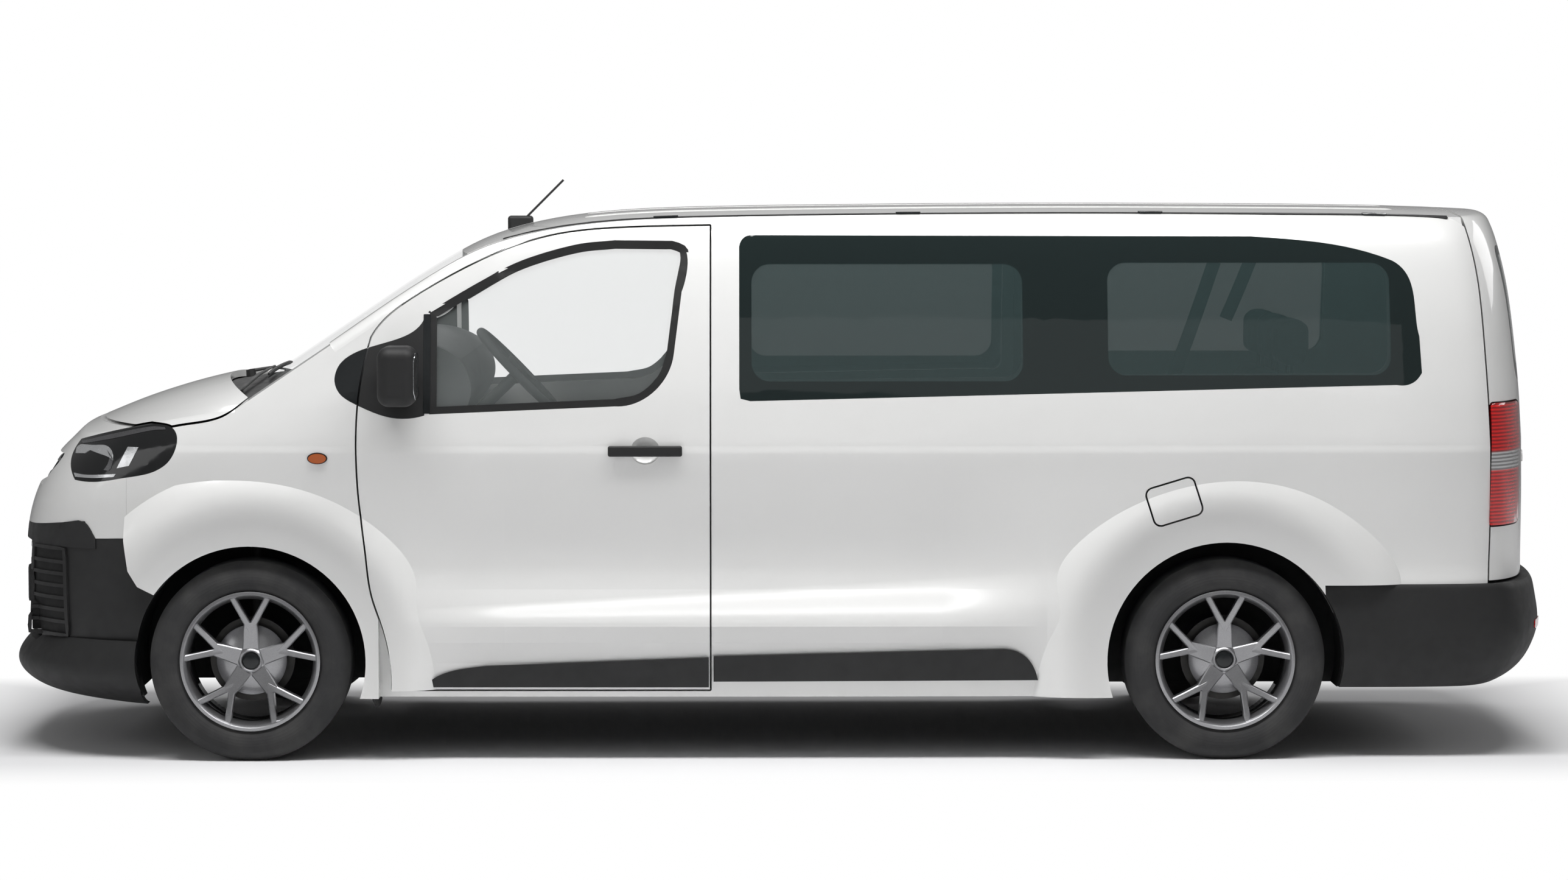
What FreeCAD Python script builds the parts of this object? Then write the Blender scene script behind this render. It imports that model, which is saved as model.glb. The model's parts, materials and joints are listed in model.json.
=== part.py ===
"""A nine-seat minibus: a one-box passenger van on four wheels.

The frame: origin on the ground below the middle of the vehicle, -X forwards, +Y to its right, +Z up, in
millimetres. The painted panels are all cut from the wall of one master body form, so neighbouring panels
share one surface and meet at even gaps.
"""

import FreeCAD, Part
import math
import os

V = FreeCAD.Vector
os.makedirs("parts", exist_ok=True)

# Driving dimensions of the whole vehicle
vehicle_length = 5309.0
body_width = 1920.0
roof_height = 1862.0
wheelbase = 3275.0
front_overhang = 881.0
front_track = 1627.0
rear_track = 1618.0
tyre_radius = 337.0
tyre_width = 225.0
rim_radius = 235.0
arch_radius_front = 390.0
arch_radius_rear = 400.0

# Walls and gaps
body_panel = 64.0
frame_wall = 16.0
roof_wall = 38.0
lamp_depth = 70.0
glass_thickness = 5.0
screen_thickness = 6.0
seat_gap = 0.45
overrun, short_overrun = 400.0, 50.0
closing_gap, level_play = 0.0045, 0.045
full_turn = 360

half_length = vehicle_length / 2
half_width = body_width / 2
front_axle_x = front_overhang - half_length
rear_axle_x = front_axle_x + wheelbase

# The master form: horizontal sections of the body, from the sill to the roof. Each row holds the height as a
# share of the roof height, the half width as a share of half the body width, and how far the nose and the
# tail stand back from the ends of the vehicle, as shares of the half length.
section_shares = [
    (0.100, 0.930, 0.036, 0.036), (0.160, 0.960, 0.024, 0.028), (0.215, 0.975, 0.016, 0.024),
    (0.258, 0.9830, 0.0122, 0.0228), (0.300, 0.973, 0.0100, 0.0220), (0.344, 0.956, 0.0100, 0.0217),
    (0.403, 0.961, 0.0130, 0.0217), (0.462, 0.975, 0.0235, 0.0220), (0.516, 0.987, 0.0430, 0.0228),
    (0.553, 0.9965, 0.0640, 0.0235), (0.564, 0.998, 0.0720, 0.0236), (0.592, 0.993, 0.0920, 0.0245),
    (0.644, 0.980, 0.1370, 0.0262), (0.714, 0.957, 0.1900, 0.0300), (0.795, 0.926, 0.2400, 0.0358),
    (0.870, 0.887, 0.2920, 0.0435), (0.918, 0.854, 0.3260, 0.0510), (0.956, 0.812, 0.3520, 0.0585),
    (0.983, 0.757, 0.3710, 0.0660), (1.010, 0.667, 0.3900, 0.0750),
]
nose_taper = 900.0
tail_round = 300.0
nose_power = 3.0
tail_power = 2.5
side_barrel = 36.0
barrel_centre_x = 250.0
barrel_half = 2300.0

# Profiles of the top of the body along its centre: places along the vehicle as shares of the half length, and
# heights as shares of the roof height
roof_line_shares = [
    (-0.697, 0.652), (-0.6205, 0.725), (-0.548, 0.794), (-0.4755, 0.863), (-0.434, 0.899), (-0.389, 0.933),
    (-0.3315, 0.9605), (-0.241, 0.9825), (-0.094, 0.9935), (0.113, 0.9978), (0.377, 1.000), (0.640, 0.9985),
    (0.829, 0.9945), (0.934, 0.988), (1.036, 0.977),
]
bonnet_line_shares = [
    (-1.0246, 0.513), (-0.964, 0.5585), (-0.904, 0.595), (-0.846, 0.629), (-0.7685, 0.6645), (-0.7157, 0.682),
    (-0.640, 0.698), (-0.430, 0.716),
]
roof_crown_radius = 9000.0
bonnet_crown_radius = 4200.0

left, right = -1, 1


def lengthwise(x, z):
    """A point of a side view."""
    return V(x, 0, z)


def crosswise(y, z):
    """A point of a front view."""
    return V(0, y, z)


def planwise(x, y):
    """A point of a plan view."""
    return V(x, y, 0)


def rounded_wire(corners, view):
    """A closed wire through (a, b, radius) corners, each rounded by an arc tangent to its two sides."""
    count = len(corners)
    points = [view(a, b) for a, b, r in corners]
    edges, ends = [], []
    for i, (a, b, radius) in enumerate(corners):
        here, before, after = points[i], points[i - 1], points[(i + 1) % count]
        to_before, to_after = (before - here).normalize(), (after - here).normalize()
        if radius <= 0:
            ends.append((here, here))
            continue
        half = to_before.getAngle(to_after) / 2
        reach = radius / math.tan(half)
        start, end = here + to_before * reach, here + to_after * reach
        towards = (to_before + to_after).normalize()
        middle = here + towards * (radius / math.sin(half) - radius)
        edges.append((i, Part.Arc(start, middle, end).toShape()))
        ends.append((start, end))
    arcs = dict(edges)
    path = []
    for i in range(count):
        if i in arcs:
            path.append(arcs[i])
        start, end = ends[i][1], ends[(i + 1) % count][0]
        if (end - start).Length > closing_gap:
            path.append(Part.makeLine(start, end))
    return Part.Wire(path)


def plan_prism(corners, low, high):
    """A plan outline of (x, y, radius) carried up from z = low to z = high."""
    face = Part.Face(rounded_wire(corners, planwise))
    face.translate(V(0, 0, low))
    return face.extrude(V(0, 0, high - low))


def block(low, high):
    """A box between two corners."""
    size = V(*high) - V(*low)
    return Part.makeBox(size.x, size.y, size.z, V(*low))


def tube_y(radius, start, end, x, z):
    """A round bar along Y from y = start to y = end."""
    return Part.makeCylinder(radius, end - start, V(x, start, z), V(0, 1, 0))


def bar(radius, start, end):
    """A round bar between two points."""
    a, b = V(*start), V(*end)
    return Part.makeCylinder(radius, (b - a).Length, a, b - a)


def mirrored(shape):
    """The same piece for the other side of the vehicle."""
    return shape.mirror(V(0, 0, 0), V(0, 1, 0))


def spread(points, count):
    """The same line drawn through count + 1 points an equal distance apart."""
    lengths = [0.0]
    for a, b in zip(points, points[1:]):
        lengths.append(lengths[-1] + math.dist(a, b))
    placed, j = [], 0
    for i in range(count + 1):
        reach = lengths[-1] * i / count
        while j < len(lengths) - 2 and lengths[j + 1] < reach:
            j += 1
        share = min(1.0, max(0.0, (reach - lengths[j]) / (lengths[j + 1] - lengths[j])))
        a, b = points[j], points[j + 1]
        placed.append((a[0] + (b[0] - a[0]) * share, a[1] + (b[1] - a[1]) * share))
    return placed


nose_spans, side_spans, tail_spans, fine_spans = 14, 8, 9, 400


def rounded_end(depth, width, power):
    """A quarter of a super-ellipse, from the middle of an end round to the side."""
    points = []
    for i in range(fine_spans + 1):
        angle = math.pi / 2 * i / fine_spans
        points.append((depth * (1 - math.cos(angle) ** (2 / power)),
                       width * math.sin(angle) ** (2 / power)))
    return points


def half_plan(width, nose_x, tail_x, barrel):
    """Half of a horizontal section of a body form, from the middle of the nose to the middle of the tail."""
    front_end = nose_x + nose_taper
    rear_end = tail_x - tail_round

    def inwards(x):
        return barrel * ((x - barrel_centre_x) / barrel_half) ** 2 / width

    nose = [(nose_x + x, y) for x, y in rounded_end(nose_taper, width, nose_power)]
    tail = [(tail_x - x, y) for x, y in reversed(rounded_end(tail_round, width, tail_power))]
    nose = spread([(x, y * (1 - inwards(x))) for x, y in nose], nose_spans)
    tail = spread([(x, y * (1 - inwards(x))) for x, y in tail], tail_spans)
    middle = []
    for i in range(1, side_spans):
        x = front_end + (rear_end - front_end) * i / side_spans
        middle.append((x, width * (1 - inwards(x))))
    return nose + middle + tail


def skin_halves(rows):
    """The two halves of one smooth surface through rows of points, each row a loop round the body."""
    count = len(rows[0])
    around, upwards = [0.0], [0.0]
    for i in range(1, count + 1):
        around.append(around[-1] + sum((r[i % count] - r[i - 1]).Length for r in rows) / len(rows))
    for low, high in zip(rows, rows[1:]):
        upwards.append(upwards[-1] + sum((b - a).Length for a, b in zip(low, high)) / count)
    around = [a / around[-1] for a in around]
    upwards = [u / upwards[-1] for u in upwards]
    nose = count // 2
    halves = []
    for first, last in ((0, nose), (nose, count)):
        loops = []
        for row in rows:
            loop = Part.BSplineCurve()
            loop.interpolate(Points=row, PeriodicFlag=True, Parameters=around)
            loop.segment(around[first], around[last])
            loops.append(loop)
        columns = []
        for poles in zip(*[loop.getPoles() for loop in loops]):
            column = Part.BSplineCurve()
            column.interpolate(Points=list(poles), Parameters=upwards)
            columns.append(column)
        loop, column = loops[0], columns[0]
        surface = Part.BSplineSurface()
        surface.buildFromPolesMultsKnots(
            [c.getPoles() for c in columns], loop.getMultiplicities(), column.getMultiplicities(),
            loop.getKnots(), column.getKnots(), False, False, loop.Degree, column.Degree)
        halves.append(surface.toShape())
    return halves


def level_rows(levels, barrel):
    """Rows of points round the body at (z, half width, nose x, tail x) levels, from the tail's middle."""
    rows = []
    for z, width, nose_x, tail_x in levels:
        half = half_plan(width, nose_x, tail_x, barrel)
        rows.append([V(x, -y, z) for x, y in reversed(half)] + [V(x, y, z) for x, y in half[1:-1]])
    return rows


def rims(halves):
    """The lower and the upper edge of a skin, as two closed wires."""
    level = [e for face in halves for e in face.Edges if e.BoundBox.ZLength < level_play]
    height = sum(e.BoundBox.ZMin for e in level) / len(level)
    return [Part.Wire([e for e in level if e.BoundBox.ZMin < height]),
            Part.Wire([e for e in level if e.BoundBox.ZMin > height])]


def closed_by(faces):
    """The solid that a set of faces closes."""
    sewn = Part.makeCompound(faces)
    sewn.sewShape()
    solid = Part.Solid(sewn if sewn.ShapeType == "Shell" else sewn.Shells[0])
    if solid.Volume < 0:
        solid.reverse()
    return solid


def form_through(levels, barrel):
    """A closed solid through levels."""
    skin = skin_halves(level_rows(levels, barrel))
    return closed_by(skin + [Part.Face(rim) for rim in rims(skin)])


def ring_through(levels, barrel, outer, inner):
    """A closed wall that runs round the body, between two depths under the levels' skin."""
    skins = []
    for depth in (outer, inner):
        shrunk = [(z, w - depth, nose + depth, tail - depth) for z, w, nose, tail in levels]
        skins.append(skin_halves(level_rows(shrunk, barrel)))
    ends = [Part.makeFace([a, b], "Part::FaceMakerBullseye") for a, b in zip(rims(skins[0]), rims(skins[1]))]
    return closed_by(skins[0] + skins[1] + ends)


def scaled_levels(shares):
    """Levels in real sizes, from their shares of the roof height, half width and half length."""
    return [(z * roof_height, w * half_width, (nose - 1) * half_length, (1 - tail) * half_length)
            for z, w, nose, tail in shares]


rings = {}


def body_wall(outer, inner):
    """The upright wall all round the body, between two depths."""
    if (outer, inner) not in rings:
        rings[outer, inner] = ring_through(scaled_levels(section_shares), side_barrel, outer, inner)
    return rings[outer, inner]


def crowned(profile_wire, radius):
    """A side-view profile swung across the vehicle about the centre of its crown."""
    face = Part.Face(profile_wire)
    axis = V(0, 0, roof_height - radius)
    swing = math.degrees((half_width + overrun) / (radius - roof_height))
    face.rotate(axis, V(1, 0, 0), -swing)
    return face.revolve(axis, V(1, 0, 0), 2 * swing)


def top_line(line_shares, depth):
    """The line of the body's top along its centre, at a depth under the skin."""
    curve = Part.BSplineCurve()
    curve.interpolate([lengthwise(x * half_length, z * roof_height - depth) for x, z in line_shares])
    return curve.toShape()


def joined_lines(first, second):
    """Two lines joined at their ends into a closed wire."""
    a, b = first.Vertexes[0].Point, first.Vertexes[-1].Point
    c, d = second.Vertexes[0].Point, second.Vertexes[-1].Point
    return Part.Wire([first, Part.makeLine(b, d), second, Part.makeLine(c, a)])


def top_slab(line_shares, outer, inner, radius):
    """A crowned sheet under the top line, between two depths."""
    return crowned(joined_lines(top_line(line_shares, outer), top_line(line_shares, inner)), radius)


def above_top(line_shares, depth, radius):
    """Everything above the top line at a depth."""
    line = top_line(line_shares, depth)
    high = roof_height + overrun
    first, last = line.Vertexes[0].Point, line.Vertexes[-1].Point
    front_x, back_x = first.x - overrun, last.x + overrun
    wire = Part.Wire([line, Part.makeLine(last, V(back_x, 0, last.z)),
                      Part.makeLine(V(back_x, 0, last.z), V(back_x, 0, high)),
                      Part.makeLine(V(back_x, 0, high), V(front_x, 0, high)),
                      Part.makeLine(V(front_x, 0, high), V(front_x, 0, first.z)),
                      Part.makeLine(V(front_x, 0, first.z), first)])
    return crowned(wire, radius)


def outline(view, *runs):
    """A closed outline of runs of points. Two points make a straight run, and more make a smooth curve."""
    edges = []
    for run in runs:
        points = [view(a, b) for a, b in run]
        if edges:
            points = [edges[-1].Vertexes[-1].Point] + points
        if len(points) == 2:
            edges.append(Part.makeLine(points[0], points[1]))
        else:
            curve = Part.BSplineCurve()
            curve.interpolate(points)
            edges.append(curve.toShape())
    start, end = edges[0].Vertexes[0].Point, edges[-1].Vertexes[-1].Point
    if (start - end).Length > closing_gap:
        edges.append(Part.makeLine(end, start))
    return Part.Wire(edges)


def side_view(x_share, z_share):
    """A point of a side view, by its shares of the half length and of the roof height."""
    return V(x_share * half_length, 0, z_share * roof_height)


curve_spans = 12


def grown(wire, reach):
    """The outline moved out by the reach, or in where it is negative."""
    if not reach:
        return wire
    edges = []
    for edge in wire.makeOffset2D(reach).Edges:
        if isinstance(edge.Curve, (Part.Line, Part.Circle)):
            edges.append(edge)
        else:
            curve = Part.BSplineCurve()
            curve.interpolate(edge.discretize(curve_spans + 1))
            edges.append(curve.toShape())
    return Part.Wire(Part.sortEdges(edges)[0])


def across(wire, low, high, axis=V(0, 1, 0)):
    """The closed outline carried along an axis from low to high."""
    face = Part.Face(wire)
    face.translate(axis * low)
    return face.extrude(axis * (high - low))


far_out = half_width + overrun


def on_left(wire, inner=0.0):
    """A side outline carried from the inner plane out past the left side."""
    return across(wire, -far_out, -inner)


def on_right(wire, inner=0.0):
    """A side outline carried from the inner plane out past the right side."""
    return across(wire, inner, far_out)


# Flares round the wheel openings: how far they reach past the opening, and their section, as shares of that
# reach and of half the body width
flare_reach_front = 246.0
flare_reach_rear = 268.0
flare_section_shares = [(0.0, 0.987), (0.22, 0.993), (0.44, 0.991), (0.68, 0.979), (0.88, 0.955),
                        (1.02, 0.925)]
flare_root_share = 0.80


flares = {}


def flare(axle_x, opening, reach, side):
    """The raised ring of one wheel opening, rooted in the middle of the wall."""
    if (axle_x, side) in flares:
        return flares[axle_x, side]
    outer = [V(axle_x, side * w * half_width, tyre_radius + opening + r * reach)
             for r, w in flare_section_shares]
    curve = Part.BSplineCurve()
    curve.interpolate(outer)
    root_y = side * flare_root_share * half_width
    low, high = V(axle_x, root_y, outer[0].z), V(axle_x, root_y, outer[-1].z)
    face = Part.Face(Part.Wire([curve.toShape(), Part.makeLine(outer[-1], high), Part.makeLine(high, low),
                                Part.makeLine(low, outer[0])]))
    ring = face.revolve(V(axle_x, 0, tyre_radius), V(0, 1, 0), full_turn)
    flares[axle_x, side] = ring.cut(inner_form(body_panel / 2))
    return flares[axle_x, side]


def wheel_opening(axle_x, opening, inner_y, side):
    """The space cut for one wheel, from its inner wall out past the side."""
    low = min(side * inner_y, side * far_out)
    high = max(side * inner_y, side * far_out)
    return tube_y(opening, low, high, axle_x, tyre_radius)


front_house_y = 525.0
rear_house_y = 672.0


def all_openings(side):
    """Both wheel openings of one side."""
    return [wheel_opening(front_axle_x, arch_radius_front, front_house_y, side),
            wheel_opening(rear_axle_x, arch_radius_rear, rear_house_y, side)]


# Shut lines, as shares of the half length and of the roof height
door_front_shares = [(-0.4885, 0.129), (-0.492, 0.202), (-0.5018, 0.256), (-0.512, 0.300), (-0.5195, 0.372),
                     (-0.5274, 0.455), (-0.5312, 0.560), (-0.5295, 0.640), (-0.5176, 0.740), (-0.513, 0.764)]
door_top_shares = [(-0.4999, 0.790), (-0.4607, 0.8346), (-0.4023, 0.8824), (-0.3436, 0.9211),
                   (-0.2848, 0.946), (-0.2068, 0.9585), (-0.1285, 0.9620), (-0.0872, 0.9630)]
door_foot_share = (-0.0872, 0.129)
door_window_shares = [
    [(-0.440, 0.6270), (-0.2068, 0.6412)], [(-0.1714, 0.6531), (-0.1439, 0.6896), (-0.1322, 0.7347)],
    [(-0.1224, 0.8459)], [(-0.1150, 0.905), (-0.120, 0.926), (-0.135, 0.934)], [(-0.2068, 0.9350)],
    [(-0.2573, 0.9270), (-0.3240, 0.8990), (-0.3782, 0.8598), (-0.440, 0.8080)], [(-0.440, 0.6270)],
]
quarter_shares = [
    [(-0.5594, 0.6923), (-0.553, 0.664), (-0.5293, 0.6423), (-0.4958, 0.6235), (-0.4453, 0.6255)],
    [(-0.4453, 0.8040)], [(-0.512, 0.7481), (-0.5549, 0.7121), (-0.5594, 0.6923)],
]
side_window_shares = [
    [(-0.0480, 0.655), (-0.036, 0.6508)], [(0.780, 0.6785)], [(0.800, 0.682), (0.812, 0.700)],
    [(0.8096, 0.765)], [(0.805, 0.820), (0.797, 0.8738), (0.778, 0.9006)],
    [(0.727, 0.9232), (0.663, 0.9372), (0.600, 0.944)],
    [(-0.030, 0.9465)], [(-0.044, 0.942), (-0.0497, 0.926)], [(-0.0497, 0.672)], [(-0.0480, 0.655)],
]
tail_seam_shares = [(0.8990, 0.290), (0.9015, 0.4216), (0.9004, 0.5242), (0.8973, 0.6455), (0.8928, 0.7669),
                    (0.8845, 0.9001), (0.8736, 0.979), (0.866, 1.05)]
fender_seam_x_share = -0.5650
split_x_share = -0.686
door_edge_lap = 28.0
door_gap = 6.0
hinge_clear_x_share = -0.478


def door_outline():
    """The shut line of a front door."""
    return outline(side_view, door_front_shares, door_top_shares, [door_foot_share])


body_foot_z = 215.0
bumper_top_share = 0.320
belt_side_y_share, roof_side_y_share = 0.900, 0.715
belt_z_share = 0.640


def top_region(extra, low_x, high_x):
    """The part of the body between the roof's two side seams, grown sideways by the extra."""
    low_y, high_y = belt_side_y_share * half_width + extra, roof_side_y_share * half_width + extra
    low_z, mid_z = belt_z_share * roof_height, roof_height
    wire = outline(crosswise, [(-low_y, low_z), (-high_y, mid_z)], [(-high_y, mid_z + overrun)],
                   [(high_y, mid_z + overrun)], [(high_y, mid_z)], [(low_y, low_z)], [(-low_y, low_z)])
    return across(wire, low_x, high_x, V(1, 0, 0))


def tail_region(shift):
    """Everything behind the tail seam, moved back by the shift."""
    far = half_length + overrun
    points = [side_view(x, z) + V(shift, 0, 0) for x, z in tail_seam_shares]
    curve = Part.BSplineCurve()
    curve.interpolate(points)
    low, high = V(far, 0, points[0].z), V(far, 0, points[-1].z)
    wire = Part.Wire([curve.toShape(), Part.makeLine(points[-1], high), Part.makeLine(high, low),
                      Part.makeLine(low, points[0])])
    return across(wire, -far_out, far_out)


def side_region(wire, side):
    """A side outline carried out past one side of the vehicle."""
    return on_left(wire) if side == left else on_right(wire)


def cut_all(solid, tools):
    """The solid less every tool."""
    for tool in tools:
        solid = solid.cut(tool)
    return solid


# Outlines of the nose, as shares of the half length and of the roof height
fender_top_shares = [(-0.5048, 0.698), (-0.5485, 0.7175), (-0.5688, 0.7551), (-0.620, 0.860)]
bonnet_seam_shares = [(-0.7726, 0.6029), (-0.735, 0.6125), (-0.6975, 0.6278), (-0.6799, 0.6466),
                      (-0.6592, 0.6751)]
headlamp_shares = [
    [(-0.8989, 0.5701), (-0.9083, 0.534), (-0.8989, 0.5011)],
    [(-0.8683, 0.500), (-0.8269, 0.510), (-0.7864, 0.5242), (-0.7680, 0.545), (-0.7617, 0.5634),
     (-0.7602, 0.5854), (-0.7650, 0.598), (-0.7760, 0.6045), (-0.7964, 0.6062)],
    [(-0.8439, 0.5918), (-0.8989, 0.5701)],
]
bumper_edge_shares = [(-0.8262, 0.4000), (-0.8700, 0.3974), (-0.8830, 0.428), (-0.895, 0.4270),
                      (-0.960, 0.4140), (-1.05, 0.4000)]
bonnet_front_x_share, bonnet_back_x_share = -0.9140, -0.7240
bonnet_front_bow, bonnet_back_bow = 1650.0, 1900.0
screen_foot_x_share, screen_head_x_share = -0.6740, -0.4150
screen_foot_bow, screen_head_bow = 2200.0, 5200.0
fender_bumper_x_share = -0.8262
fender_bumper_foot_shares = [(-0.8262, 0.4000), (-0.8200, 0.3460), (-0.8080, 0.3180), (-0.7810, 0.2980)]


def bowed_line(x_share, bow, low, high):
    """Everything behind a plan arc that bows forwards, from z = low to z = high."""
    x = x_share * half_length
    sag = far_out ** 2 / (2 * bow)
    arc = Part.Arc(V(x + sag, -far_out, 0), V(x, 0, 0), V(x + sag, far_out, 0)).toShape()
    back = half_length + overrun * 3
    a, b = arc.Vertexes[0].Point, arc.Vertexes[-1].Point
    wire = Part.Wire([arc, Part.makeLine(b, V(back, b.y, 0)), Part.makeLine(V(back, b.y, 0), V(back, a.y, 0)),
                      Part.makeLine(V(back, a.y, 0), a)])
    return across(wire, low, high, V(0, 0, 1))


def everything(front_x, back_x, low, high):
    """A box across the whole width."""
    return block((front_x, -far_out, low), (back_x, far_out, high))


high_z = roof_height + overrun
front_end_x = -half_length - overrun
back_end_x = half_length + overrun


def bonnet_space():
    """The space over the bonnet's side seams, from its front edge to the foot of the windscreen."""
    seam = [side_view(x, z) for x, z in bonnet_seam_shares]
    curve = Part.BSplineCurve()
    curve.interpolate(seam)
    start, end = seam[0], seam[-1]
    front = V(bonnet_front_x_share * half_length - overrun, 0, start.z)
    wire = Part.Wire([curve.toShape(), Part.makeLine(end, V(end.x, 0, high_z)),
                      Part.makeLine(V(end.x, 0, high_z), V(front.x, 0, high_z)),
                      Part.makeLine(V(front.x, 0, high_z), front), Part.makeLine(front, start)])
    return across(wire, -far_out, far_out)


rim_wall = 64.0
edge_round = 50.0
sheet_wall = 24.0
slab_inset = 56.0


def longest(edges, test, count):
    """The longest edges that pass a test."""
    return sorted([e for e in edges if test(e.BoundBox)], key=lambda e: -e.Length)[:count]


def inner_form(inset):
    """The solid inside the body wall at one depth."""
    return form_through([(z, w - inset, nose + inset, tail - inset)
                         for z, w, nose, tail in scaled_levels(section_shares)], side_barrel)


def capped_wall(region, line_shares, radius, lowest, count, sheet):
    """The body wall in a region, its top edge rounded, closed above by a crowned sheet."""
    wall = body_wall(0, rim_wall).common(region).cut(above_top(line_shares, 0, radius))
    rim = longest(wall.Edges, lambda b: b.ZMin > lowest and b.YLength > half_width / 2, count)
    wall = wall.makeFillet(edge_round, rim)
    cover = top_slab(line_shares, 0, sheet, radius).common(inner_form(slab_inset)).common(region)
    return wall.fuse(cover)


nose_back_x_share = -0.60
tail_front_x_share = 0.84


def fender_space(side):
    """The side outline ahead of and under the foot of the windscreen pillar, at one side."""
    points = [side_view(x, z) for x, z in fender_top_shares]
    low, back = V(points[0].x, 0, -overrun), points[0]
    wire = Part.makePolygon([low, back] + points[1:] + [V(front_end_x, 0, points[-1].z),
                                                        V(front_end_x, 0, -overrun), low])
    return side_region(wire, side)


def bumper_front_space(extra):
    """The space of the dark front bumper."""
    top = [side_view(x, z) + V(0, 0, extra) for x, z in bumper_edge_shares]
    rear = [side_view(x, z) + V(extra, 0, 0) for x, z in fender_bumper_foot_shares]
    start = V(top[0].x + extra, 0, top[0].z)
    foot = V(front_axle_x, 0, rear[-1].z)
    wire = Part.makePolygon([start] + top[1:] + [V(front_end_x, 0, top[-1].z), V(front_end_x, 0, -overrun),
                                                 V(foot.x, 0, -overrun), foot] + rear[:0:-1] + [start])
    return across(wire, -far_out, far_out)


def lamp_space(side, extra=0):
    """The space of one headlamp."""
    return side_region(grown(outline(side_view, *headlamp_shares), extra), side)


def door_space(side, extra=0):
    """The space of one front door."""
    return side_region(grown(door_outline(), extra), side)


def window_space(shares, side, extra=0):
    """The space of one pane."""
    return side_region(grown(outline(side_view, *shares), extra), side)


door_front_share = -0.40
door_front_x = door_front_share * half_length


def make_bonnet(shell):
    """The bonnet, cut from the skin of the nose."""
    front = bowed_line(bonnet_front_x_share, bonnet_front_bow, 0, high_z)
    back = bowed_line(bonnet_back_x_share, bonnet_back_bow, 0, high_z)
    solid = shell.common(bonnet_space()).common(front).cut(back)
    lamps = [lamp_space(side, door_gap) for side in (left, right)]
    return cut_all(solid, lamps)


shut_gap = 5.6
bonnet_drop = 8.0


def make_fender(side):
    """One front wing, with its part of the flare, from the bumper back to the door."""
    region = everything(front_end_x, door_front_x, body_foot_z, high_z).common(fender_space(side))
    wall = body_wall(0, rim_wall).common(region)
    ring = flare(front_axle_x, arch_radius_front, flare_reach_front, side)
    wall = wall.fuse(ring.common(region)) if wall.Volume else wall
    bonnet_shut = bonnet_space()
    bonnet_shut.translate(V(0, 0, -bonnet_drop))
    split_x, top_z = split_x_share * half_length, high_z + overrun
    screen = above_top(roof_line_shares, screen_thickness + seat_gap, roof_crown_radius)
    nose = above_top(bonnet_line_shares, 0, bonnet_crown_radius)
    tools = [screen.common(everything(split_x, 0, 0, top_z)),
             nose.common(everything(front_end_x - overrun, split_x, 0, top_z)),
             bonnet_shut, door_space(side, door_gap), lamp_space(side, seat_gap),
             bumper_front_space(seat_gap), window_space(quarter_shares, side, seat_gap),
             everything(front_end_x, fender_bumper_x_share * half_length + seat_gap, 0, high_z)]
    return cut_all(wall, tools + all_openings(side))


rear_bumper_front_shares = [(0.6900, 0.318), (0.7000, 0.110)]


def bumper_space(extra):
    """The space of the rear bumper, from the wheel opening back."""
    (x_top, z_top), (x_low, z_low) = rear_bumper_front_shares
    top, low = side_view(x_top, z_top) + V(-extra, 0, extra), side_view(x_low, z_low) + V(-extra, 0, 0)
    wire = Part.makePolygon([top, V(back_end_x, 0, top.z), V(back_end_x, 0, -overrun),
                             V(low.x, 0, -overrun), low, top])
    return across(wire, -far_out, far_out)


roof_side_share = 0.97


def make_side(side):
    """One side of the body: its pillars, roof rail, sill and rear quarter in one pressing."""
    seam_x = fender_seam_x_share * half_length - 2 * short_overrun
    region = block((seam_x, min(0, side * far_out), body_foot_z),
                   (back_end_x, max(0, side * far_out), high_z))
    region = region.cut(top_region(0, front_end_x, back_end_x)).cut(tail_region(0)).cut(fender_space(side))
    wall = body_wall(0, body_panel).common(region).cut(above_top(roof_line_shares, 0, roof_crown_radius))
    rim = longest(wall.Edges, lambda b: b.ZMax > roof_height * roof_side_share
                  and b.ZMin > roof_height * belt_z_share, 1)
    wall = wall.makeFillet(edge_round, rim)
    behind = everything(door_front_x, back_end_x, body_foot_z, high_z)
    for axle_x, opening, reach in ((front_axle_x, arch_radius_front, flare_reach_front),
                                   (rear_axle_x, arch_radius_rear, flare_reach_rear)):
        room = everything(max(axle_x - 2 * opening, door_front_x), axle_x + 2 * opening, body_foot_z, high_z)
        if axle_x > 0:
            wall = wall.fuse(flare(axle_x, opening, reach, side).common(room).common(behind))
    tools = [door_space(side, door_gap), window_space(quarter_shares, side, seat_gap), bumper_space(seat_gap)]
    tools += all_openings(side)
    if side == left:
        tools += [window_space(side_window_shares, side, seat_gap), flap_space(shut_gap + frame_play)]
    else:
        tools += [sliding_space(door_gap), window_space(rear_window_shares, side, seat_gap)]
    return cut_all(wall, tools)


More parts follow.
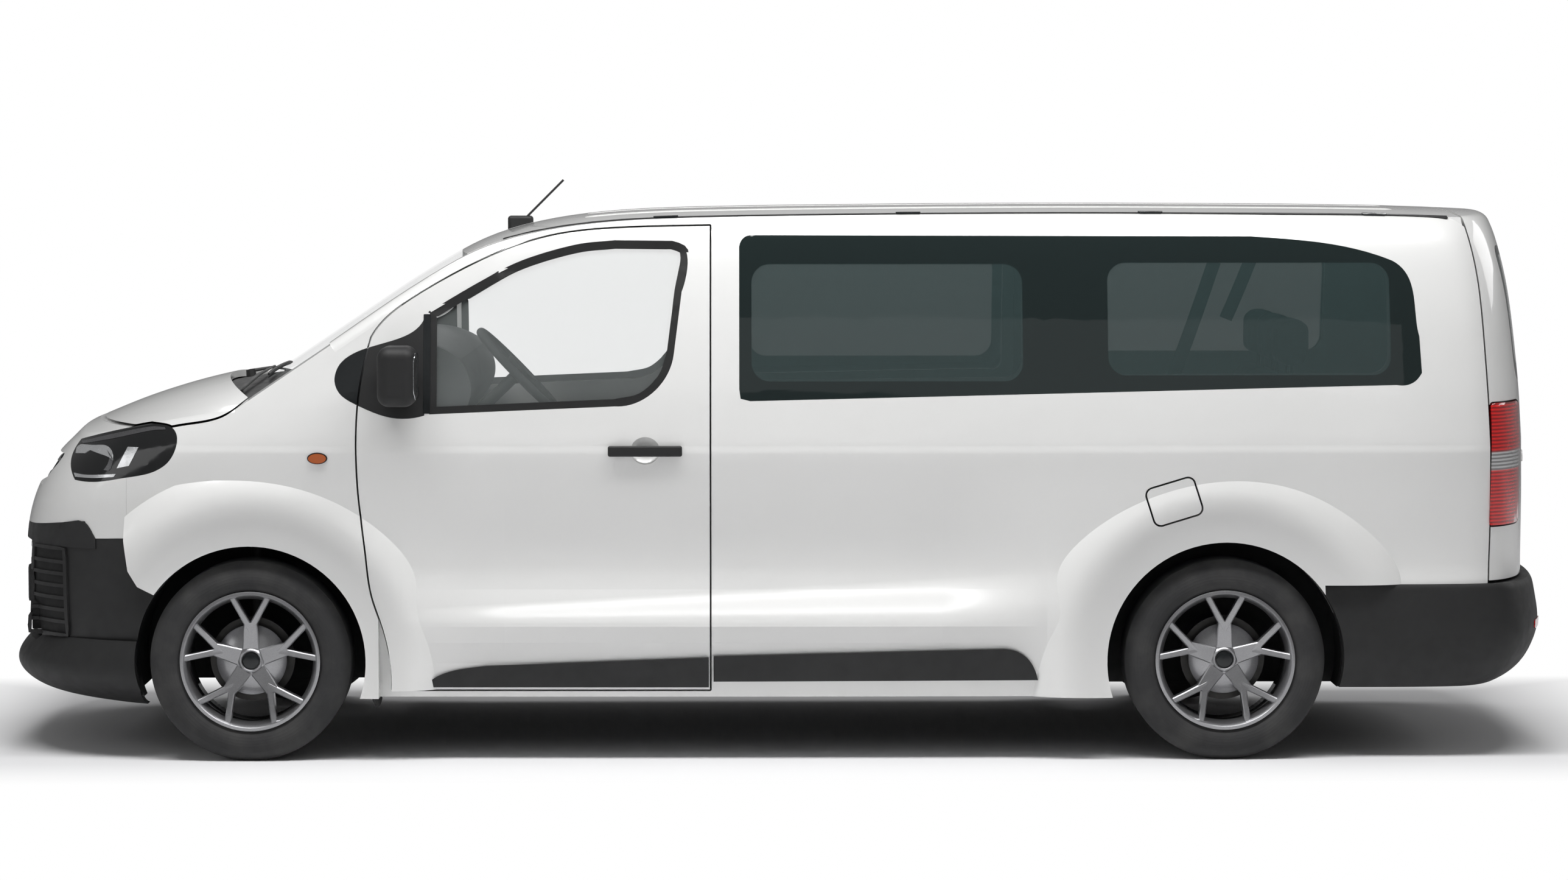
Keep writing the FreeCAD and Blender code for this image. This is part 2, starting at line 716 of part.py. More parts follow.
# The sliding door of the right side, and the panes behind it
sliding_front_share, sliding_back_share = -0.0848, 0.3480
sliding_low_share, sliding_top_share = 0.137, 0.9630
sliding_corner = 60.0
sliding_window_shares = [
    [(-0.0480, 0.655), (-0.036, 0.6508)], [(0.300, 0.6605)], [(0.316, 0.663), (0.322, 0.680)],
    [(0.322, 0.915)], [(0.318, 0.940), (0.300, 0.9460)], [(-0.030, 0.9465)],
    [(-0.044, 0.942), (-0.0497, 0.926)],
    [(-0.0497, 0.672)], [(-0.0480, 0.655)],
]
rear_window_shares = [
    [(0.3740, 0.680), (0.380, 0.665), (0.396, 0.6630)], [(0.780, 0.6785)], [(0.800, 0.682), (0.812, 0.700)],
    [(0.8096, 0.765)], [(0.805, 0.820), (0.797, 0.8738), (0.778, 0.9006)],
    [(0.727, 0.9232), (0.663, 0.9372), (0.600, 0.944)], [(0.396, 0.9455)], [(0.380, 0.940), (0.3740, 0.915)],
    [(0.3740, 0.680)],
]


def sliding_outline():
    """The shut line of the sliding door."""
    low, high = sliding_low_share * roof_height, sliding_top_share * roof_height
    front, back = sliding_front_share * half_length, sliding_back_share * half_length
    return rounded_wire([(front, low, 0), (back, low, sliding_corner), (back, high, sliding_corner),
                         (front, high, 0)], lengthwise)


def sliding_space(extra=0):
    """The space of the sliding door."""
    return on_right(grown(sliding_outline(), extra))


# The fuel flap: a rounded square that leans back
flap_x_share, flap_z_share = 0.4988, 0.4694
flap_length, flap_height, flap_corner, flap_lean = 163.0, 124.0, 22.0, -17.0
neck_radius, flap_pocket, filler_radius = 38.0, 30.0, 26.0
flap_back_y = 926.0


def flap_outline():
    """The shut line of the fuel flap."""
    x, z = flap_x_share * half_length, flap_z_share * roof_height
    a, b = flap_length / 2, flap_height / 2
    wire = rounded_wire([(x - a, z - b, flap_corner), (x + a, z - b, flap_corner),
                         (x + a, z + b, flap_corner), (x - a, z + b, flap_corner)], lengthwise)
    wire.rotate(V(x, 0, z), V(0, 1, 0), flap_lean)
    return wire


def flap_space(extra=0):
    """The space of the fuel flap."""
    return on_left(grown(flap_outline(), extra))


def make_flap():
    """The fuel flap, flat inside and shaped like the body outside."""
    solid = body_wall(0, body_panel).common(flap_space())
    solid = solid.fuse(flare(rear_axle_x, arch_radius_rear, flare_reach_rear, left).common(flap_space()))
    return solid.common(block((front_end_x, -far_out, 0), (back_end_x, -flap_back_y, high_z)))


# The inner frames: the clear panes' outlines, the tail lip and the latch plate that the shut door rests on
clear_front_shares = [(-0.0343, 0.6858), (0.3078, 0.692), (0.3078, 0.8947), (-0.0343, 0.8947)]
clear_rear_shares = [(0.4155, 0.696), (0.7730, 0.6980), (0.7730, 0.8970), (0.4155, 0.8970)]
clear_corner = 62.0
frame_top_z_share = 0.968
lip_top_x_share, lip_top_z_share = 0.866, 0.950
tail_lip, seal_depth, frame_play = 34.0, 9.0, 0.6
latch_width, latch_height, latch_z_share = 14.0, 46.0, 0.5480


def make_frame(side):
    """The inner frame of one body side: jambs behind the door's edges, window surrounds and the tail lip."""
    depth = body_panel + frame_play
    region = block((hinge_clear_x_share * half_length, min(0, side * far_out), body_foot_z),
                   (back_end_x, max(0, side * far_out), frame_top_z_share * roof_height))
    region = region.cut(tail_region(tail_lip))
    wall = body_wall(depth, depth + frame_wall).common(region)
    wall = wall.cut(above_top(roof_line_shares, roof_wall + 2 * seat_gap, roof_crown_radius))
    tools = [door_space(side, -door_edge_lap), bumper_space(-tail_lip)] + all_openings(side)
    tools.append(everything(lip_top_x_share * half_length, back_end_x, lip_top_z_share * roof_height, high_z))
    seal = body_wall(body_panel / 2, body_panel + seal_depth)
    tools += [seal.common(door_space(side, door_gap)), seal.common(tail_region(-shut_gap))]
    if side == left:
        x, z = flap_x_share * half_length, flap_z_share * roof_height
        neck = tube_y(neck_radius, -flap_back_y + door_gap, -flap_back_y + flap_pocket * 2, x, z)
        cap = tube_y(filler_radius, -flap_back_y + seat_gap, -flap_back_y + flap_pocket, x, z)
        wall = wall.multiFuse([neck, cap])
    clear = [clear_front_shares, clear_rear_shares]
    tools += [side_region(rounded_wire([(x * half_length, z * roof_height, clear_corner) for x, z in shares],
                                       lengthwise), side) for shares in clear]
    if side == right:
        tools.append(sliding_space(-door_edge_lap))
    wall = max(cut_all(wall, tools).Solids, key=lambda piece: piece.Volume)
    x, z = door_foot_share[0] * half_length - door_edge_lap / 2, latch_z_share * roof_height
    latch = block((x - latch_width / 2, min(0, side * far_out), z - latch_height / 2),
                  (x + latch_width / 2, max(0, side * far_out), z + latch_height / 2))
    return wall.fuse(body_wall(body_panel + seat_gap, depth + frame_wall).common(latch))


# The front doors, their panes and the cup behind the handle
door_low_z = 240.0
sail_x_share = -0.4460
glass_set, quarter_wall = 12.0, 22.0
cup_radius, cup_stand = 60.0, 43.0
handle_face = 946.0


def make_door(side):
    """One front door, hollow at its window."""
    wall = body_wall(0, body_panel).common(door_space(side))
    wall = wall.common(everything(front_end_x, back_end_x, door_low_z, high_z))
    room = everything(front_axle_x, door_front_x, body_foot_z, high_z).common(door_space(side))
    wall = wall.fuse(flare(front_axle_x, arch_radius_front, flare_reach_front, side).common(room))
    wall = wall.cut(window_space(door_window_shares, side))
    wall = wall.cut(window_space(quarter_shares, side, seat_gap).common(
        everything(front_end_x, sail_x_share * half_length, 0, high_z)))
    cup = Part.makeSphere(cup_radius, V(handle_x, side * (handle_face + cup_stand), handle_z))
    return cut_all(wall, [cup] + all_openings(side))


def make_door_glass(side):
    """The pane of one front door."""
    return body_wall(glass_set, glass_set + glass_thickness).common(
        window_space(door_window_shares, side, -seat_gap))


def make_quarter(side, moving):
    """The black panel ahead of the door glass: fixed in front, riding on the door behind."""
    pane = body_wall(0, quarter_wall).common(window_space(quarter_shares, side, -seat_gap))
    if moving:
        sail = everything(front_end_x, sail_x_share * half_length - seat_gap, 0, high_z)
        return pane.common(door_space(side, -seat_gap)).common(sail)
    return pane.cut(door_space(side, door_gap))


def make_windscreen():
    """The laminated pane between the pillars."""
    pane = top_slab(roof_line_shares, 0, screen_thickness, roof_crown_radius)
    pane = pane.common(top_region(-seat_gap, front_end_x, 0))
    pane = pane.common(bowed_line(screen_foot_x_share, screen_foot_bow, 0, high_z))
    return pane.cut(bowed_line(screen_head_x_share, screen_head_bow, 0, high_z))


rib_count = 4
rib_pitch, rib_width, rib_depth = 270.0, 90.0, 5.0
rib_end_ratio = 2.1
rib_front_share, rib_back_share = -0.25, 0.80


def make_roof():
    """The roof panel between the side seams, with its pressed ribs."""
    panel = top_slab(roof_line_shares, 0, roof_wall, roof_crown_radius)
    panel = panel.common(top_region(-seat_gap, front_end_x, back_end_x))
    head = bowed_line(screen_head_x_share, screen_head_bow, 0, high_z)
    head.translate(V(seat_gap, 0, 0))
    panel = panel.common(head).cut(tail_region(-shut_gap))
    panel = cut_all(panel, [door_space(side, door_gap) for side in (left, right)] + [sliding_space(door_gap)])
    front, back = rib_front_share * half_length, rib_back_share * half_length
    for i in range(rib_count):
        y = (i - (rib_count - 1) / 2) * rib_pitch
        end_round, low, high = rib_width / rib_end_ratio, y - rib_width / 2, y + rib_width / 2
        rib = plan_prism([(front, low, end_round), (back, low, end_round), (back, high, end_round),
                          (front, high, end_round)], 0, high_z)
        groove = top_slab(roof_line_shares, -short_overrun, rib_depth, roof_crown_radius)
        panel = panel.cut(groove.common(rib))
    return panel


# The tailgate: its window as a front view in shares of half the body width and of the roof height
tail_window_shares = [(-0.69, 0.680), (0.69, 0.680), (0.62, 0.925), (-0.62, 0.925)]
tail_window_corner = 60.0
tail_lamp_front_share, tail_lamp_back_share = 0.9015, 0.9520
tail_lamp_low_share, tail_lamp_top_share = 0.4227, 0.6440
tail_lamp_corner, lamp_bulge = 24.0, 4.0


def tail_lamp_space(side, extra=0):
    """The space of one tail lamp."""
    front, back = tail_lamp_front_share * half_length, tail_lamp_back_share * half_length
    low, top = tail_lamp_low_share * roof_height, tail_lamp_top_share * roof_height
    wire = rounded_wire([(front, low, tail_lamp_corner / 3), (back, low, tail_lamp_corner),
                         (back, top, tail_lamp_corner), (front, top, tail_lamp_corner / 3)], lengthwise)
    return side_region(grown(wire, extra), side)


def tail_window(extra=0):
    """The space of the rear pane."""
    wire = rounded_wire([(y * half_width, z * roof_height, tail_window_corner)
                         for y, z in tail_window_shares], crosswise)
    return across(grown(wire, extra), 0, back_end_x, V(1, 0, 0))


plate_recess_width, plate_recess_height, plate_recess_depth = 620.0, 150.0, 14.0
plate_recess_z_share = 0.470
tail_rim_share = 0.9


def make_tailgate():
    """The tailgate: the whole tail above the bumper, with its window cut and a recess for the plate."""
    region = everything(tail_front_x_share * half_length, back_end_x,
                        bumper_top_share * roof_height + shut_gap, high_z)
    rim_z = tail_rim_share * roof_height
    shell = capped_wall(region, roof_line_shares, roof_crown_radius, rim_z, 2, roof_wall)
    shell = shell.common(tail_region(shut_gap))
    tools = [tail_window()] + [tail_lamp_space(side, shut_gap) for side in (left, right)]
    low = plate_recess_z_share * roof_height - plate_recess_height / 2
    recess = everything(0, back_end_x, low, low + plate_recess_height).common(
        block((0, -plate_recess_width / 2, 0), (back_end_x, plate_recess_width / 2, high_z)))
    recess = recess.common(body_wall(-2 * short_overrun, plate_recess_depth))
    return cut_all(shell, tools + [recess])


def make_tail_glass():
    """The pane of the tailgate."""
    return body_wall(0, glass_thickness).common(tail_window(-seat_gap))


def make_tail_lamps():
    """The two lamps on the body's rear corners."""
    lamps = []
    for side in (left, right):
        lamps.append(body_wall(-lamp_bulge, body_panel).common(tail_lamp_space(side)))
    return Part.makeCompound(lamps)


# The rear bumper as level sections: height, half width, and how far its nose and tail stand back
rear_bumper_shares = [
    (0.130, 0.935, 0.30, 0.0480), (0.160, 0.965, 0.30, 0.0200), (0.195, 0.982, 0.30, 0.0060),
    (0.225, 0.988, 0.30, 0.0000), (0.262, 0.988, 0.30, 0.0010), (0.295, 0.983, 0.30, 0.0050),
    (0.318, 0.974, 0.30, 0.0120), (0.3245, 0.955, 0.30, 0.0240),
]
rear_bumper_wall = 60.0
# The rubber buffers that the shut tailgate and bonnet rest on
buffer_x_share, buffer_radius, buffer_height, buffer_y = 0.9692, 8.0, 15.0, 280.0


def make_rear_bumper():
    """The rear bumper, from the wheel openings round the tail, with its step."""
    levels = scaled_levels(rear_bumper_shares)
    skin = ring_through(levels, side_barrel, 0, rear_bumper_wall)
    solid = skin.common(bumper_space(-seat_gap))
    x, top = buffer_x_share * half_length, bumper_top_share * roof_height + shut_gap - seat_gap
    buffers = [Part.makeCylinder(buffer_radius, buffer_height, V(x, side * buffer_y, top - buffer_height))
               for side in (left, right)]
    return cut_all(solid.multiFuse(buffers), all_openings(left) + all_openings(right))


# The front bumper's lip, as level sections
lip_shares = [
    (0.088, 0.800, 0.0900, 0.30), (0.105, 0.875, 0.0400, 0.30), (0.130, 0.935, 0.0100, 0.30),
    (0.152, 0.958, 0.0000, 0.30), (0.170, 0.966, 0.0010, 0.30), (0.190, 0.968, 0.0100, 0.30),
    (0.215, 0.960, 0.0240, 0.30),
]
lip_wall = 40.0
bumper_low_share, lip_back_share = 0.112, -0.8100
intake_shares = [(-0.600, 0.2000), (0.600, 0.2000), (0.520, 0.3820), (-0.520, 0.3820)]
intake_corner = 36.0
slat_count, slat_thickness, slat_depth = 6, 12.0, 46.0
slat_rib_count, slat_rib_reach_share, slat_set = 3, 0.40, 14.0
upper_grille_shares = [(-0.470, 0.4820), (0.470, 0.4820), (0.560, 0.5420), (-0.560, 0.5420)]
upper_grille_corner = 22.0
upper_slat_count = 2


def front_prism_of(shares, corner, extra=0):
    """A front-view outline carried through the nose."""
    wire = rounded_wire([(y * half_width, z * roof_height, corner) for y, z in shares], crosswise)
    return across(grown(wire, extra), front_end_x, front_axle_x, V(1, 0, 0))


def make_front_bumper():
    """The dark front bumper with its lip and the open intake."""
    region = everything(front_end_x, front_axle_x, bumper_low_share * roof_height, high_z)
    wall = body_wall(0, rim_wall).common(bumper_front_space(-seat_gap)).common(region)
    lip = ring_through(scaled_levels(lip_shares), 0, 0, lip_wall).common(
        everything(front_end_x, lip_back_share * half_length, 0, high_z))
    tools = [front_prism_of(intake_shares, intake_corner)] + all_openings(left) + all_openings(right)
    return cut_all(wall.fuse(lip), tools)


def make_slats(shares, corner, count, depth):
    """Level slats across an opening of the nose, joined by their upright ribs."""
    opening = front_prism_of(shares, corner, -seat_gap)
    low, high = shares[0][1] * roof_height, shares[2][1] * roof_height
    pitch = (high - low) / count
    bars = []
    for i in range(count):
        z = low + (i + 1 / 2) * pitch
        bars.append(everything(front_end_x, front_axle_x, z - slat_thickness / 2, z + slat_thickness / 2))
    for i in range(slat_rib_count):
        y = (i / (slat_rib_count - 1) - 1 / 2) * 2 * slat_rib_reach_share * half_width
        bars.append(block((front_end_x, y - slat_thickness / 2, low),
                          (front_axle_x, y + slat_thickness / 2, high)))
    grid = bars[0].multiFuse(bars[1:])
    return body_wall(slat_set, slat_set + depth).common(opening).common(grid)


def make_fascia(shell):
    """The painted panel between the headlamps, over the bumper."""
    back = fender_bumper_x_share * half_length
    region = everything(front_end_x, back, 0, high_z)
    solid = shell.common(region)
    bonnet = bonnet_space().common(bowed_line(bonnet_front_x_share, bonnet_front_bow, 0, high_z))
    bonnet.translate(V(-shut_gap, 0, -bonnet_drop))
    tools = [bonnet, bumper_front_space(seat_gap), front_prism_of(upper_grille_shares, upper_grille_corner)]
    tools += [lamp_space(side, seat_gap) for side in (left, right)]
    return cut_all(solid, tools)


def make_headlamps():
    """The two headlamps."""
    lamps = []
    for side in (left, right):
        lamp = body_wall(0, lamp_depth).common(lamp_space(side))
        lamp = lamp.cut(above_top(bonnet_line_shares, 0, bonnet_crown_radius))
        lamps += lamp.Solids[:1]
    return Part.makeCompound(lamps)


# The structure under the floor and in the nose
floor_low, floor_top = 440.0, 490.0
floor_front_x_share, floor_back_x_share = -0.500, 0.880
liner_wall = 7.0
liner_foot_z = 236.0
liner_play = 1.0
rail_y, rail_width, rail_low = 430.0, 90.0, 330.0
rail_front_x_share, rail_back_x_share = -0.900, 0.890
firewall_shares = [(-0.500, 0.236), (-0.480, 0.263), (-0.505, 0.300), (-0.590, 0.540), (-0.632, 0.668),
                   (-0.650, 0.668), (-0.606, 0.540), (-0.520, 0.296)]
firewall_inset = 110.0
cross_x_share, cross_width, cross_low_share = -0.850, 50.0, 0.560
cross_reach, axle_notch = 530.0, 76.0
post_width = 60.0
cowl_sink, cowl_wall, cowl_lap, cowl_reach = 30.0, 14.0, 60.0, 780.0


def liner(axle_x, opening, inner_y, side, skin_depth):
    """The cup over one wheel: its inner wall and the arch round it."""
    low = min(side * (inner_y - liner_wall), side * far_out)
    high = max(side * (inner_y - liner_wall), side * far_out)
    shell = tube_y(opening + liner_play + liner_wall, low, high, axle_x, tyre_radius)
    low = min(side * inner_y, side * far_out)
    high = max(side * inner_y, side * far_out)
    hollow = tube_y(opening + liner_play, low, high, axle_x, tyre_radius)
    cup = shell.cut(hollow).common(inner_form(skin_depth))
    return cup.common(everything(front_end_x, back_end_x, liner_foot_z, high_z))


def make_underbody():
    """The floor with its rails, the firewall, the wheel housings and the front panel."""
    depth = body_panel + frame_wall + 2 * frame_play
    inside = inner_form(depth)
    front, back = floor_front_x_share * half_length, floor_back_x_share * half_length
    floor = everything(front, back, floor_low, floor_top).common(inside)
    for side in (left, right):
        for axle_x, opening, inner_y in ((front_axle_x, arch_radius_front, front_house_y),
                                         (rear_axle_x, arch_radius_rear, rear_house_y)):
            low = min(side * (inner_y - liner_wall), side * far_out)
            high = max(side * (inner_y - liner_wall), side * far_out)
            floor = floor.cut(tube_y(opening + liner_play, low, high, axle_x, tyre_radius))
    pieces = [liner(front_axle_x, arch_radius_front, front_house_y, side, rim_wall + door_gap)
              for side in (left, right)]
    pieces += [liner(rear_axle_x, arch_radius_rear, rear_house_y, side, depth) for side in (left, right)]
    for side in (left, right):
        y = side * rail_y
        pieces.append(block((rail_front_x_share * half_length, y - rail_width / 2, rail_low),
                            (rail_back_x_share * half_length, y + rail_width / 2, floor_low)))
    corners = [side_view(x, z) for x, z in firewall_shares]
    wall = across(Part.makePolygon(corners + corners[:1]), -far_out, far_out)
    pieces.append(wall.common(inner_form(firewall_inset)))
    x = cross_x_share * half_length
    for side in (left, right):
        y = side * rail_y
        pieces.append(block((x, y - post_width / 2, rail_low),
                            (x + cross_width, y + post_width / 2, belt_z_share * roof_height)))
    beam = everything(x, x + cross_width, cross_low_share * roof_height, high_z).common(
        block((front_end_x, -cross_reach, 0), (back_end_x, cross_reach, high_z)))
    for side in (left, right):
        a, b = sorted((side * rail_y, side * (front_house_y - liner_wall / 2)))
        pieces.append(block((front_axle_x - cross_width, a, floor_low - cross_width),
                            (front_axle_x + cross_width, b, floor_low)))
    body = floor.multiFuse(pieces + [beam.common(inner_form(rim_wall + frame_play))])
    ahead = everything(front_end_x - overrun, split_x_share * half_length, 0, high_z + overrun)
    x, low = x + cross_width / 2, cross_low_share * roof_height + cross_width / 2
    rests = [Part.makeCylinder(buffer_radius, roof_height, V(x, side * buffer_y, low))
             for side in (left, right)]
    lid = above_top(bonnet_line_shares, sheet_wall + door_gap, bonnet_crown_radius).common(ahead)
    body = body.cut(cut_all(lid, rests))
    under = above_top(bonnet_line_shares, sheet_wall + seat_gap, bonnet_crown_radius)
    tops = [Part.makeCylinder(2 * buffer_radius, roof_height, V(x, side * buffer_y, low)).common(under)
            for side in (left, right)]
    body = cut_all(body, tops)
    shelf = above_top(bonnet_line_shares, cowl_sink + cowl_wall + seat_gap, bonnet_crown_radius)
    body = body.cut(shelf.common(everything(split_x_share * half_length, 0, 0, high_z + overrun)))
    notch = everything(rear_axle_x - axle_notch, rear_axle_x + axle_notch, 0, tyre_radius + axle_notch)
    return body.cut(notch.cut(block((front_end_x, -cross_reach, 0), (back_end_x, cross_reach, high_z))))


# Wheels
rim_lip, barrel_wall, barrel_sink = 12.0, 12.0, 14.0
tyre_shoulder, tyre_bead_width, tyre_belly_share = 34.0, 190.0, 0.45
spoke_count = 5
hub_radius, hub_flat_share, cap_radius, cap_depth = 74.0, 0.6, 30.0, 6.0
spoke_face_hub, spoke_face_rim, spoke_depth = 74.0, 101.0, 34.0
prong_width, stem_width, fork_radius = 25.0, 54.0, 148.0
gap_foot_radius, gap_round, notch_round = 113.0, 11.0, 7.0
disc_radius, disc_thickness, hat_radius, hat_depth = 142.0, 22.0, 78.0, 26.0
centre_bore = 32.5


def revolved(points, centre):
    """A solid turned about the wheel's axle from (radius, y) points."""
    corners = [V(0, y, r) for r, y in points]
    wire = Part.makePolygon(corners + corners[:1])
    solid = Part.Face(wire).revolve(V(0, 0, 0), V(0, 1, 0), full_turn)
    solid.translate(centre)
    return solid


def polar(radius, degrees):
    """A point of the wheel's face."""
    angle = math.radians(degrees)
    return radius * math.cos(angle), radius * math.sin(angle)


def wheel_hole(corners, turn, rounding):
    """A hole through the wheel's face, from (radius, degrees) corners turned round the axle."""
    points = [polar(r, a + turn) + (rounding,) for r, a in corners]
    wire = rounded_wire(points, lengthwise)
    return across(wire, -tyre_width, tyre_width)


def make_rim():
    """One wheel of the left side at the origin: barrel, five forked spokes, hub and bare centre cap."""
    half = tyre_width / 2 - rim_lip / 2
    outer = rim_radius
    barrel = revolved([(outer - barrel_sink - barrel_wall, half), (outer, half), (outer, half - rim_lip),
                       (outer - barrel_sink, half - 2 * rim_lip), (outer - barrel_sink, -half + 2 * rim_lip),
                       (outer, -half + rim_lip), (outer, -half), (outer - rim_lip, -half),
                       (outer - barrel_sink - barrel_wall, -half + 2 * rim_lip)], V(0, 0, 0))
    inner = outer - barrel_sink - barrel_wall / 2
    dish = revolved([(centre_bore, -spoke_face_hub), (hub_radius * hub_flat_share, -spoke_face_hub),
                     (hub_radius, -spoke_face_hub - cap_depth / 2), (inner, -spoke_face_rim),
                     (inner, -spoke_face_rim + spoke_depth / 2),
                     (hub_radius, -spoke_face_hub + spoke_depth),
                     (centre_bore, -spoke_face_hub + spoke_depth)], V(0, 0, 0))
    turn = full_turn / spoke_count
    edge = outer - barrel_sink - barrel_wall + rim_lip / 4
    reach = math.degrees(prong_width / 2 / edge)
    side = turn / 4 - reach
    stem = turn / 2 - math.degrees(stem_width / 2 / (gap_foot_radius + gap_round))
    gap = [(edge, -side), (edge, side), (gap_foot_radius + gap_round, stem), (gap_foot_radius, stem / 2),
           (gap_foot_radius, -stem / 2), (gap_foot_radius + gap_round, -stem)]
    notch = [(edge, -side), (edge, side), (fork_radius, side / 3), (fork_radius, -side / 3)]
    for i in range(spoke_count):
        dish = dish.cut(wheel_hole(gap, turn * i + turn / 4 * 3, gap_round))
        dish = dish.cut(wheel_hole(notch, turn * i + turn / 4, notch_round))
    cap = tube_y(cap_radius, -spoke_face_hub - cap_depth, -spoke_face_hub + spoke_depth, 0, 0)
    plug = tube_y(centre_bore, -spoke_face_hub + cap_depth, -spoke_face_hub + spoke_depth, 0, 0)
    return barrel.fuse(dish).fuse(plug).fuse(cap)


def make_tyre():
    """One tyre at the origin."""
    half, bead = tyre_width / 2, tyre_bead_width / 2
    low, high = rim_radius + seat_gap, tyre_radius
    tread = half - tyre_shoulder
    side = [V(0, bead, low), V(0, half, low + (high - low) * tyre_belly_share),
            V(0, half - tyre_shoulder / 8, high - tyre_shoulder), V(0, tread, high)]
    curve = Part.BSplineCurve()
    curve.interpolate(side)
    other = [V(0, -p.y, p.z) for p in reversed(side)]
    back = Part.BSplineCurve()
    back.interpolate(other)
    wire = Part.Wire([curve.toShape(), Part.makeLine(side[-1], other[0]), back.toShape(),
                      Part.makeLine(other[-1], side[0])])
    return Part.Face(wire).revolve(V(0, 0, 0), V(0, 1, 0), full_turn)


def make_disc():
    """One brake disc with its hat, seated on the back of the wheel's hub."""
    face = -spoke_face_hub + spoke_depth
    mid = face + hat_depth
    return revolved([(0, face), (hat_radius, face), (hat_radius, mid), (disc_radius, mid),
                     (disc_radius, mid + disc_thickness), (0, mid + disc_thickness)], V(0, 0, 0))


wheel_places = {
    "front_left": (front_axle_x, left, front_track), "front_right": (front_axle_x, right, front_track),
    "rear_left": (rear_axle_x, left, rear_track), "rear_right": (rear_axle_x, right, rear_track),
}


def placed(shape, place):
    """A wheel piece moved to its corner, turned for the right side."""
    x, side, track = place
    copy = shape.copy()
    if side == right:
        copy = mirrored(copy)
    copy.translate(V(x, side * track / 2, tyre_radius))
    return copy


# Front suspension: an inclined steering axis, with the knuckle on it
axis_low_y, axis_low_z = 752.0, 205.0
axis_top_y, axis_top_z = 630.0, 724.0
knuckle_radius, knuckle_depth = 58.0, 72.0
pin_radius, lug_height, lug_radius = 9.0, 26.0, 22.0
arm_height, arm_width = 26.0, 60.0
lug_play, strut_head, cap_share = 7.0, 24.0, 1.7


def carrier_face(track):
    """How far out the inner face of a brake disc lies, where the hub carrier begins."""
    return track / 2 - (-spoke_face_hub + spoke_depth + hat_depth + disc_thickness) - seat_gap


def make_knuckle():
    """The left hub carrier and strut."""
    y0 = -carrier_face(front_track)
    carrier = tube_y(knuckle_radius, y0, y0 + knuckle_depth, front_axle_x, tyre_radius)
    low = V(front_axle_x, -axis_low_y, axis_low_z)
    top = V(front_axle_x, -axis_top_y, axis_top_z)
    up = (top - low).normalize()
    start = arm_height / 2 + lug_play
    lug_foot = low + up * start
    web = Part.makeCylinder(lug_radius, (top - low).Length - start - strut_head / 2, lug_foot, up)
    bore = Part.makeCylinder(pin_radius + seat_gap, lug_height + lug_play, lug_foot, up)
    cap = Part.makeCylinder(cap_share * lug_radius, strut_head / 2, top - up * strut_head, up)
    return carrier.multiFuse([web, cap]).cut(bore)


def make_subframe():
    """The front subframe with its two lower arms and ball pins."""
    z = axis_low_z
    beam = block((front_axle_x - arm_width, -rail_y - rail_width / 2, z - arm_height / 2),
                 (front_axle_x + arm_width, rail_y + rail_width / 2, z + arm_height / 2))
    pieces = []
    for side in (left, right):
        y = side * rail_y
        pieces.append(block((front_axle_x - arm_width / 2, y - rail_width / 3, z),
                            (front_axle_x + arm_width / 2, y + rail_width / 3, rail_low - seat_gap)))
        a, b = sorted((side * rail_y, side * axis_low_y))
        pieces.append(block((front_axle_x - arm_width / 4, a, z - arm_height / 2),
                            (front_axle_x + arm_width / 4, b, z + arm_height / 2)))
        low = V(front_axle_x, side * axis_low_y, z)
        top = V(front_axle_x, side * axis_top_y, axis_top_z)
        up = (top - low).normalize()
        pieces.append(Part.makeCylinder(pin_radius, arm_height / 2 + lug_play + lug_height, low, up))
    return beam.multiFuse(pieces)


beam_radius, beam_z = 42.0, 262.0
trail_arm_x, trail_width = 420.0, 60.0


def make_rear_axle():
    """The rear axle: a cross beam, trailing arms to the rails and the hub carriers."""
    y0 = carrier_face(rear_track)
    beam = tube_y(beam_radius, -y0 + knuckle_depth, y0 - knuckle_depth, rear_axle_x, beam_z)
    pieces = []
    for side in (left, right):
        a, b = sorted((side * y0, side * (y0 - knuckle_depth)))
        pieces.append(tube_y(knuckle_radius, a, b, rear_axle_x, tyre_radius))
        a, b = sorted((side * (y0 - knuckle_depth), side * (y0 - 2 * knuckle_depth)))
        pieces.append(block((rear_axle_x - beam_radius, a, beam_z),
                            (rear_axle_x + beam_radius, b, tyre_radius)))
        pieces.append(tube_y(knuckle_radius / 2, a, b, rear_axle_x, tyre_radius))
        y = side * rail_y
        pieces.append(block((rear_axle_x - trail_arm_x, y - trail_width / 2, beam_z - beam_radius / 2),
                            (rear_axle_x, y + trail_width / 2, beam_z + beam_radius / 2)))
        pieces.append(block((rear_axle_x - trail_arm_x, y - trail_width / 2, beam_z),
                            (rear_axle_x - trail_arm_x + trail_width, y + trail_width / 2,
                             rail_low - seat_gap)))
    return beam.multiFuse(pieces)


# The cabin
dash_shares = [(-0.598, 0.560), (-0.560, 0.700), (-0.520, 0.742), (-0.455, 0.752), (-0.405, 0.720),
               (-0.395, 0.640), (-0.440, 0.560), (-0.455, 0.430), (-0.520, 0.420)]
dash_inset = 160.0
dash_top_count, dash_face_count = 5, 8


def make_dashboard():
    """The dashboard, one moulding across the cabin on the firewall."""
    wire = outline(side_view, dash_shares[:dash_top_count], dash_shares[dash_top_count:dash_face_count],
                   dash_shares[dash_face_count:], [dash_shares[0]])
    solid = across(wire, -far_out, far_out).common(inner_form(dash_inset))
    corners = [side_view(x, z) for x, z in firewall_shares]
    wall = across(Part.makePolygon(corners + corners[:1]), -far_out, far_out)
    wall.translate(V(seat_gap, 0, 0))
    column = bar(column_radius + door_gap, column_start(seat_gap), wheel_centre())
    return solid.cut(wall).cut(column)


